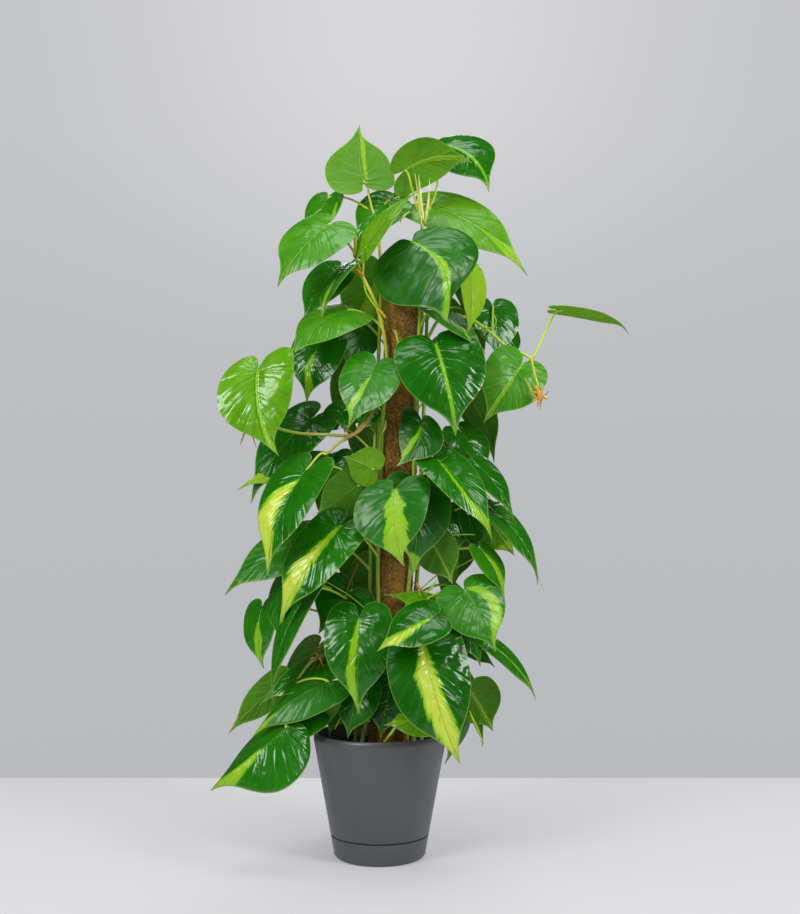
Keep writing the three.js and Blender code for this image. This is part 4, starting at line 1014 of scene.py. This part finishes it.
class PLANT_OT_pole(bpy.types.Operator):
    """Wooden stake wrapped in a coir mat, with loose fibres"""
    bl_idname = "plant.pole"
    bl_label = "Coir pole"

    def execute(self, context):
        size = context.scene.plant_pole
        rng = np.random.default_rng(19)
        low, high, outer = SLEEVE_FOOT, size.top / MM - 2, size.radius / MM
        self.sleeve(size, rng, low, high, outer)
        self.fibres(size, rng, low, high, outer)
        wood = stake_wood()
        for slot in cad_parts["pole_core"].material_slots:
            slot.material = wood
        return {"FINISHED"}

    def sleeve(self, size, rng, low, high, outer):
        """The mat: rings round the leaning pole, lumpy with waves of 7 to 70 mm, and its plain bore."""
        inner = size.core / MM + 0.4
        rows, sides = POLE_ROWS, POLE_SIDES
        z = np.concatenate([np.full(4, low), np.linspace(low, high, rows - 8), np.full(4, high)])
        angle = np.arange(sides) * 2 * np.pi / sides
        lump = np.zeros((rows, sides))
        for length, depth in ((70, 0.5), (28, 0.5), (13, 0.45), (7, 0.35)):
            for _ in range(4):
                turns, slope, phase = rng.integers(-5, 6), rng.uniform(-1, 1), rng.uniform(0, TURN)
                lump += depth * 0.5 * np.sin(turns * angle + slope * z[:, None] * TURN / length + phase)
        radius = outer - 1.1 + np.clip(lump, -1.6, 1.0)
        bore = np.full(sides, inner)
        radius = np.concatenate([[bore, bore], radius[3:-3], [bore, bore]])
        z = np.concatenate([[low, low], z[3:-3], [high, high]])
        middle = np.stack([pole_x(z), 0 * z, z], -1)
        skin = (middle[:, None] + radius[..., None] * circle(sides))[1:-1]
        # The last ring joins the first, which closes the sleeve round its bore
        j, k = neighbours(sides)
        last = (len(skin) - 1) * sides
        mat = Surface()
        mat.add(skin, np.concatenate([grid(len(skin), sides, True),
                                      np.stack([last + j, last + k, k, j], -1)]), [])
        mat.make("coir_mat", [coir(size, False)], "coir", "coir_sleeve", 60)

    def fibres(self, size, rng, low, high, outer):
        """Loose fibres half a millimetre thick and 12 to 45 mm long, which wander over the mat."""
        count = size.fibres
        length = rng.uniform(12, 45, count)[:, None]
        start = rng.uniform(0, TURN, count)[:, None]
        height = rng.uniform(low + 100, high - 6, count)[:, None]
        tilt = rng.normal(0, 0.9, count)[:, None]
        bow = rng.normal(0, 0.7, count)[:, None]
        u = np.linspace(-0.5, 0.5, 6)[None, :]
        turn = start + (u * length * np.sin(tilt) + bow * length * u ** 2) / outer
        up = height + u * length * np.cos(tilt) + 2.0 * np.sin(9 * u + start * 5)
        up = np.clip(up, low + 96, high - 0.5)
        proud = rng.uniform(-0.6, 0.5, count)[:, None]
        lift = outer - 0.9 + proud + 1.2 * rng.random(count)[:, None] ** 4 * 4 * u ** 2
        lift = np.minimum(lift, outer + 0.5)
        path = np.stack([pole_x(up) + lift * np.cos(turn), lift * np.sin(turn), up], -1)
        strands = Surface()
        shade = np.repeat(rng.random(count)[:, None, None], 6, 1) * np.ones(3)
        add_tubes(strands, path, FIBRE_RADIUS, 3, fields={"shade": shade})
        strands.make("coir_loose_fibres", [coir(size, True)], "coir", "coir_sleeve", 180)


class PLANT_OT_leaves(bpy.types.Operator):
    """Heart-shaped blades, one mesh for each vine"""
    bl_idname = "plant.leaves"
    bl_label = "Leaves"

    def execute(self, context):
        size = context.scene.plant_leaves
        skins = [leaf_skin(size, UPPER), leaf_skin(size, UNDER)]
        leaves = all_leaves()
        for vine in STEMS:
            blades = Surface()
            for leaf in leaves:
                if leaf.on == vine or ARMS.get(leaf.on, [None])[0] == vine:
                    add_blade(blades, leaf, size.thickness / MM)
            blades.make(f"leaves_{vine}", skins, "foliage", f"vine_{vine}", 70)
        return {"FINISHED"}


class PLANT_OT_stems(bpy.types.Operator):
    """Stems with nodes, side branches and petioles, one mesh for each vine"""
    bl_idname = "plant.stems"
    bl_label = "Stems and petioles"

    def execute(self, context):
        skin = stem_skin()
        leaves = all_leaves()
        rng = np.random.default_rng(5)
        for vine, route in STEMS.items():
            stems = Surface()
            grown = {}
            knots = np.array([[x, -near, z] for x, z, near in route], float)
            grown[vine] = self.stem(stems, knots, STEM_RADIUS, 0.45, rng)
            for arm, (parent, age, points) in ARMS.items():
                if parent == vine:
                    grown[arm] = self.stem(stems, np.array([seen(p) for p in points]), ARM_RADIUS, age, rng)
            paths, radii, ages = [], [], []
            for leaf in leaves:
                if leaf.on in grown:
                    path = petiole_path(leaf, grown[leaf.on])
                    u = np.linspace(0, 1, len(path))
                    paths.append(path)
                    radii.append(PETIOLE_RADIUS + 0.6 * np.exp(-u / 0.08)
                                 + 0.35 * np.exp(-((u - 0.93) / 0.05) ** 2))
                    fresh = 0.6 if leaf.base[2] > YOUNG_ABOVE else rng.uniform(0, 0.35)
                    ages.append(np.full((len(path), 3), [rng.uniform(0.0, 0.3), fresh, 0]))
            add_tubes(stems, paths, np.array(radii), 8, fields={"age": np.array(ages)})
            stems.make(f"stems_{vine}", [skin], "foliage", f"vine_{vine}", 180)
        return {"FINISHED"}

    def stem(self, surface, knots, radius, age, rng):
        """A stem along its knots, swollen at each node, and the points that leaves can grow from."""
        length = np.linalg.norm(np.diff(knots, axis=0), axis=1).sum()
        count = max(int(length / 6), 8)
        path = through(knots, count)
        where = np.linspace(0, length, count)
        off = NODE_SPACING / 2 - np.abs((where + 17) % NODE_SPACING - NODE_SPACING / 2)
        thick = radius * (1 - 0.25 * where / length) * (1 + 0.3 * np.exp(-(off / 2.6) ** 2))
        tone = age + 0.25 * np.exp(-(off / 4) ** 2) - 0.3 * where / length
        # The main stems that root left of the pole turn yellow from 620 mm up
        fresh = np.clip((path[:, 2] - 620) / 60, 0, 0.8) * (radius == STEM_RADIUS) * (knots[0, 0] < -20)
        ages = np.stack([tone * (1 - fresh), fresh, 0 * tone], -1)
        add_tubes(surface, path[None], thick[None], 10, fields={"age": ages[None]})
        return path


class PLANT_OT_growth(bpy.types.Operator):
    """Young sheaths, aerial roots and dried sheaths"""
    bl_idname = "plant.growth"
    bl_label = "Sheaths and roots"

    def execute(self, context):
        kinds = {"fresh": ("fresh_leaf_sheath", "#e6e48c", "#a8c23c", 0.4),
                 "dried": ("dried_leaf_sheath", "#e2b03c", "#b86a20", 0.6),
                 "root": ("aerial_root", "#9a6a34", "#5e3c1c", 0.7),
                 "lime": ("young_stem", "#b4d434", "#7fae20", 0.35),
                 "yellow": ("yellow_petiole", "#e2d63a", "#b6b428", 0.35)}
        skins = [tissue(*kind) for kind in kinds.values()]
        young, old = Surface(), Surface()
        for kind, near, points, radii in GROWTH:
            path = through([seen([x, z, near]) for x, z in points], SHOOT_POINTS)
            thick = np.interp(np.linspace(0, len(radii) - 1, SHOOT_POINTS), np.arange(len(radii)), radii)
            number = list(kinds).index(kind)
            add_tubes(old if kind in ("dried", "root") else young, path[None], thick[None], 8, number, 0.6)
        young.make("young_growth", skins, "foliage", "vine_front_left", 180)
        old.make("roots_and_dry_sheaths", skins, "foliage", "vine_front_right", 180)
        return {"FINISHED"}


class PLANT_OT_stage(bpy.types.Operator):
    """Pale floor, grey backdrop, soft lamps and the camera"""
    bl_idname = "plant.stage"
    bl_label = "Stage, light and camera"

    def execute(self, context):
        scene = context.scene
        scene.view_settings.view_transform = "Standard"
        for build in (self.camera, self.floor, self.backdrop, self.lamps):
            build(scene, scene.plant_stage)
        return {"FINISHED"}

    def camera(self, scene, size):
        """The photograph's viewpoint: 1.4 m in front, 380 mm up, looking 5.27 degrees upwards."""
        camera = bpy.data.objects.new("camera", bpy.data.cameras.new("camera"))
        camera.location = (0.02576, -1.4, 0.380)
        camera.rotation_euler = (math.radians(95.27), 0, 0)
        camera.data.lens, camera.data.sensor_width, camera.data.sensor_fit = 42.0, 36.0, "AUTO"
        scene.collection.objects.link(camera)
        scene.camera = camera

    def floor(self, scene, size):
        """A matt floor that glows a little, so that it stays as pale as the photograph's."""
        made, add = finish("matt_floor_paint")
        glow = tuple(0.38 * v for v in size.floor)
        add("OutputMaterial", {"Surface": add("BsdfPrincipled", {
            "Base Color": tuple(0.55 * v for v in size.floor), "Roughness": 0.8, "Specular IOR Level": 0.1,
            "Emission Color": glow, "Emission Strength": 1.0})})
        mesh = bpy.data.meshes.new("floor")
        wide, back = FLOOR_HALF, FLOOR_BACK
        mesh.from_pydata([(-wide, -wide, 0), (wide, -wide, 0), (wide, back, 0), (-wide, back, 0)], [],
                         [(0, 1, 2, 3)])
        mesh.materials.append(made)
        floor = bpy.data.objects.new("floor", mesh)
        scene.collection.objects.link(floor)

    def backdrop(self, scene, size):
        """The sky: a grey that pales upwards with painted light, and the floor's grey below the horizon."""
        world = bpy.data.worlds.new("studio_grey")
        world.use_nodes = True
        scene.world = world
        tree = world.node_tree
        tree.nodes.clear()
        add = functools.partial(add_node, tree)
        way = add("SeparateXYZ", add("TexCoord", out="Generated")).node.outputs
        rise = add("MapRange", way[2], -0.5, 0.5, 0.0, 1.0)
        low, high, ground = (tuple(v) for v in (size.wall_low, size.wall_high, size.floor))
        sky = add("ValToRGB", rise, stops=[(0.0, ground), (0.27, ground), (0.285, "#b3b5b9"), (0.305, low),
                                           (0.56, "#bbbdc1"), (0.74, "#bec0c4"), (0.86, high)])
        # A faint paler glow high in the middle
        side = add("MapRange", add("Math", way[0], 0.0, **SIZE), 0.0, 0.36, 1.0, 0.0, **SMOOTH)
        glow = add("Math", side, add("MapRange", rise, 0.66, 0.96, 0.0, 1.0, **SMOOTH), **TIMES)
        sky = add("Mix", {0: glow, 6: sky, 7: "#d8d8da"}, **BLEND)
        tint = (0.77, 0.78, 0.8)
        soft = add("MixShader", add("LightPath", out="Is Glossy Ray"),
                   add("Background", tint, 0.55 * size.light), add("Background", tint, 0.08 * size.light))
        add("OutputWorld", {"Surface": add("MixShader", add("LightPath", out="Is Camera Ray"), soft,
                                           add("Background", sky, 1.0))})

    def lamps(self, scene, size):
        """Soft boxes at both sides, above and behind: name, place, aim, width and height, watts."""
        for name, place, aim, (wide, tall), watts in (
                ("key_left", (-1.25, -1.5, 1.5), (0, 0, 0.5), (0.7, 1.0), 25),
                ("key_right", (1.4, -1.2, 1.35), (0, 0, 0.5), (0.5, 1.0), 19),
                ("top", (0.0, -0.3, 2.3), (0, 0, 0.4), (1.2, 1.0), 15),
                ("rim", (0.3, 1.6, 1.7), (0, 0, 0.6), (1.6, 0.8), 14)):
            lamp = bpy.data.lights.new(name, "AREA")
            lamp.shape, lamp.size, lamp.size_y, lamp.energy = "RECTANGLE", wide, tall, watts * size.light
            holder = bpy.data.objects.new(name, lamp)
            holder.location = place
            holder.rotation_euler = (Vector(aim) - Vector(place)).to_track_quat("-Z", "Y").to_euler()
            scene.collection.objects.link(holder)


class PLANT_PT_panel(bpy.types.Panel):
    """Lists the plant's pieces in the sidebar"""
    bl_idname = "PLANT_PT_panel"
    bl_label = "Potted philodendron"
    bl_space_type = "VIEW_3D"
    bl_region_type = "UI"
    bl_category = "Plant"

    def draw(self, context):
        for made in OPERATORS:
            self.layout.operator(made.bl_idname)
        for name in GROUPS:
            box = self.layout.box()
            settings = getattr(context.scene, name)
            for key in settings.__annotations__:
                box.prop(settings, key)


GROUPS = {"plant_pot": PotSettings, "plant_pole": PoleSettings, "plant_leaves": LeafSettings,
          "plant_stage": StageSettings}
OPERATORS = [PLANT_OT_stage, PLANT_OT_pot, PLANT_OT_soil, PLANT_OT_pole, PLANT_OT_leaves, PLANT_OT_stems,
             PLANT_OT_growth]


def register():
    """Registers the settings, the operators and the panel."""
    for made in [*GROUPS.values(), *OPERATORS, PLANT_PT_panel]:
        bpy.utils.register_class(made)
    for name, made in GROUPS.items():
        setattr(bpy.types.Scene, name, bpy.props.PointerProperty(type=made))


def unregister():
    """Takes them away again."""
    for name in GROUPS:
        delattr(bpy.types.Scene, name)
    for made in reversed([*GROUPS.values(), *OPERATORS, PLANT_PT_panel]):
        bpy.utils.unregister_class(made)


def main():
    """Makes the whole plant and its stage."""
    register()
    bpy.ops.plant.stage()
    bpy.ops.plant.pot()
    bpy.ops.plant.soil()
    bpy.ops.plant.pole()
    bpy.ops.plant.leaves()
    bpy.ops.plant.stems()
    bpy.ops.plant.growth()


if __name__ == "__main__":
    main()
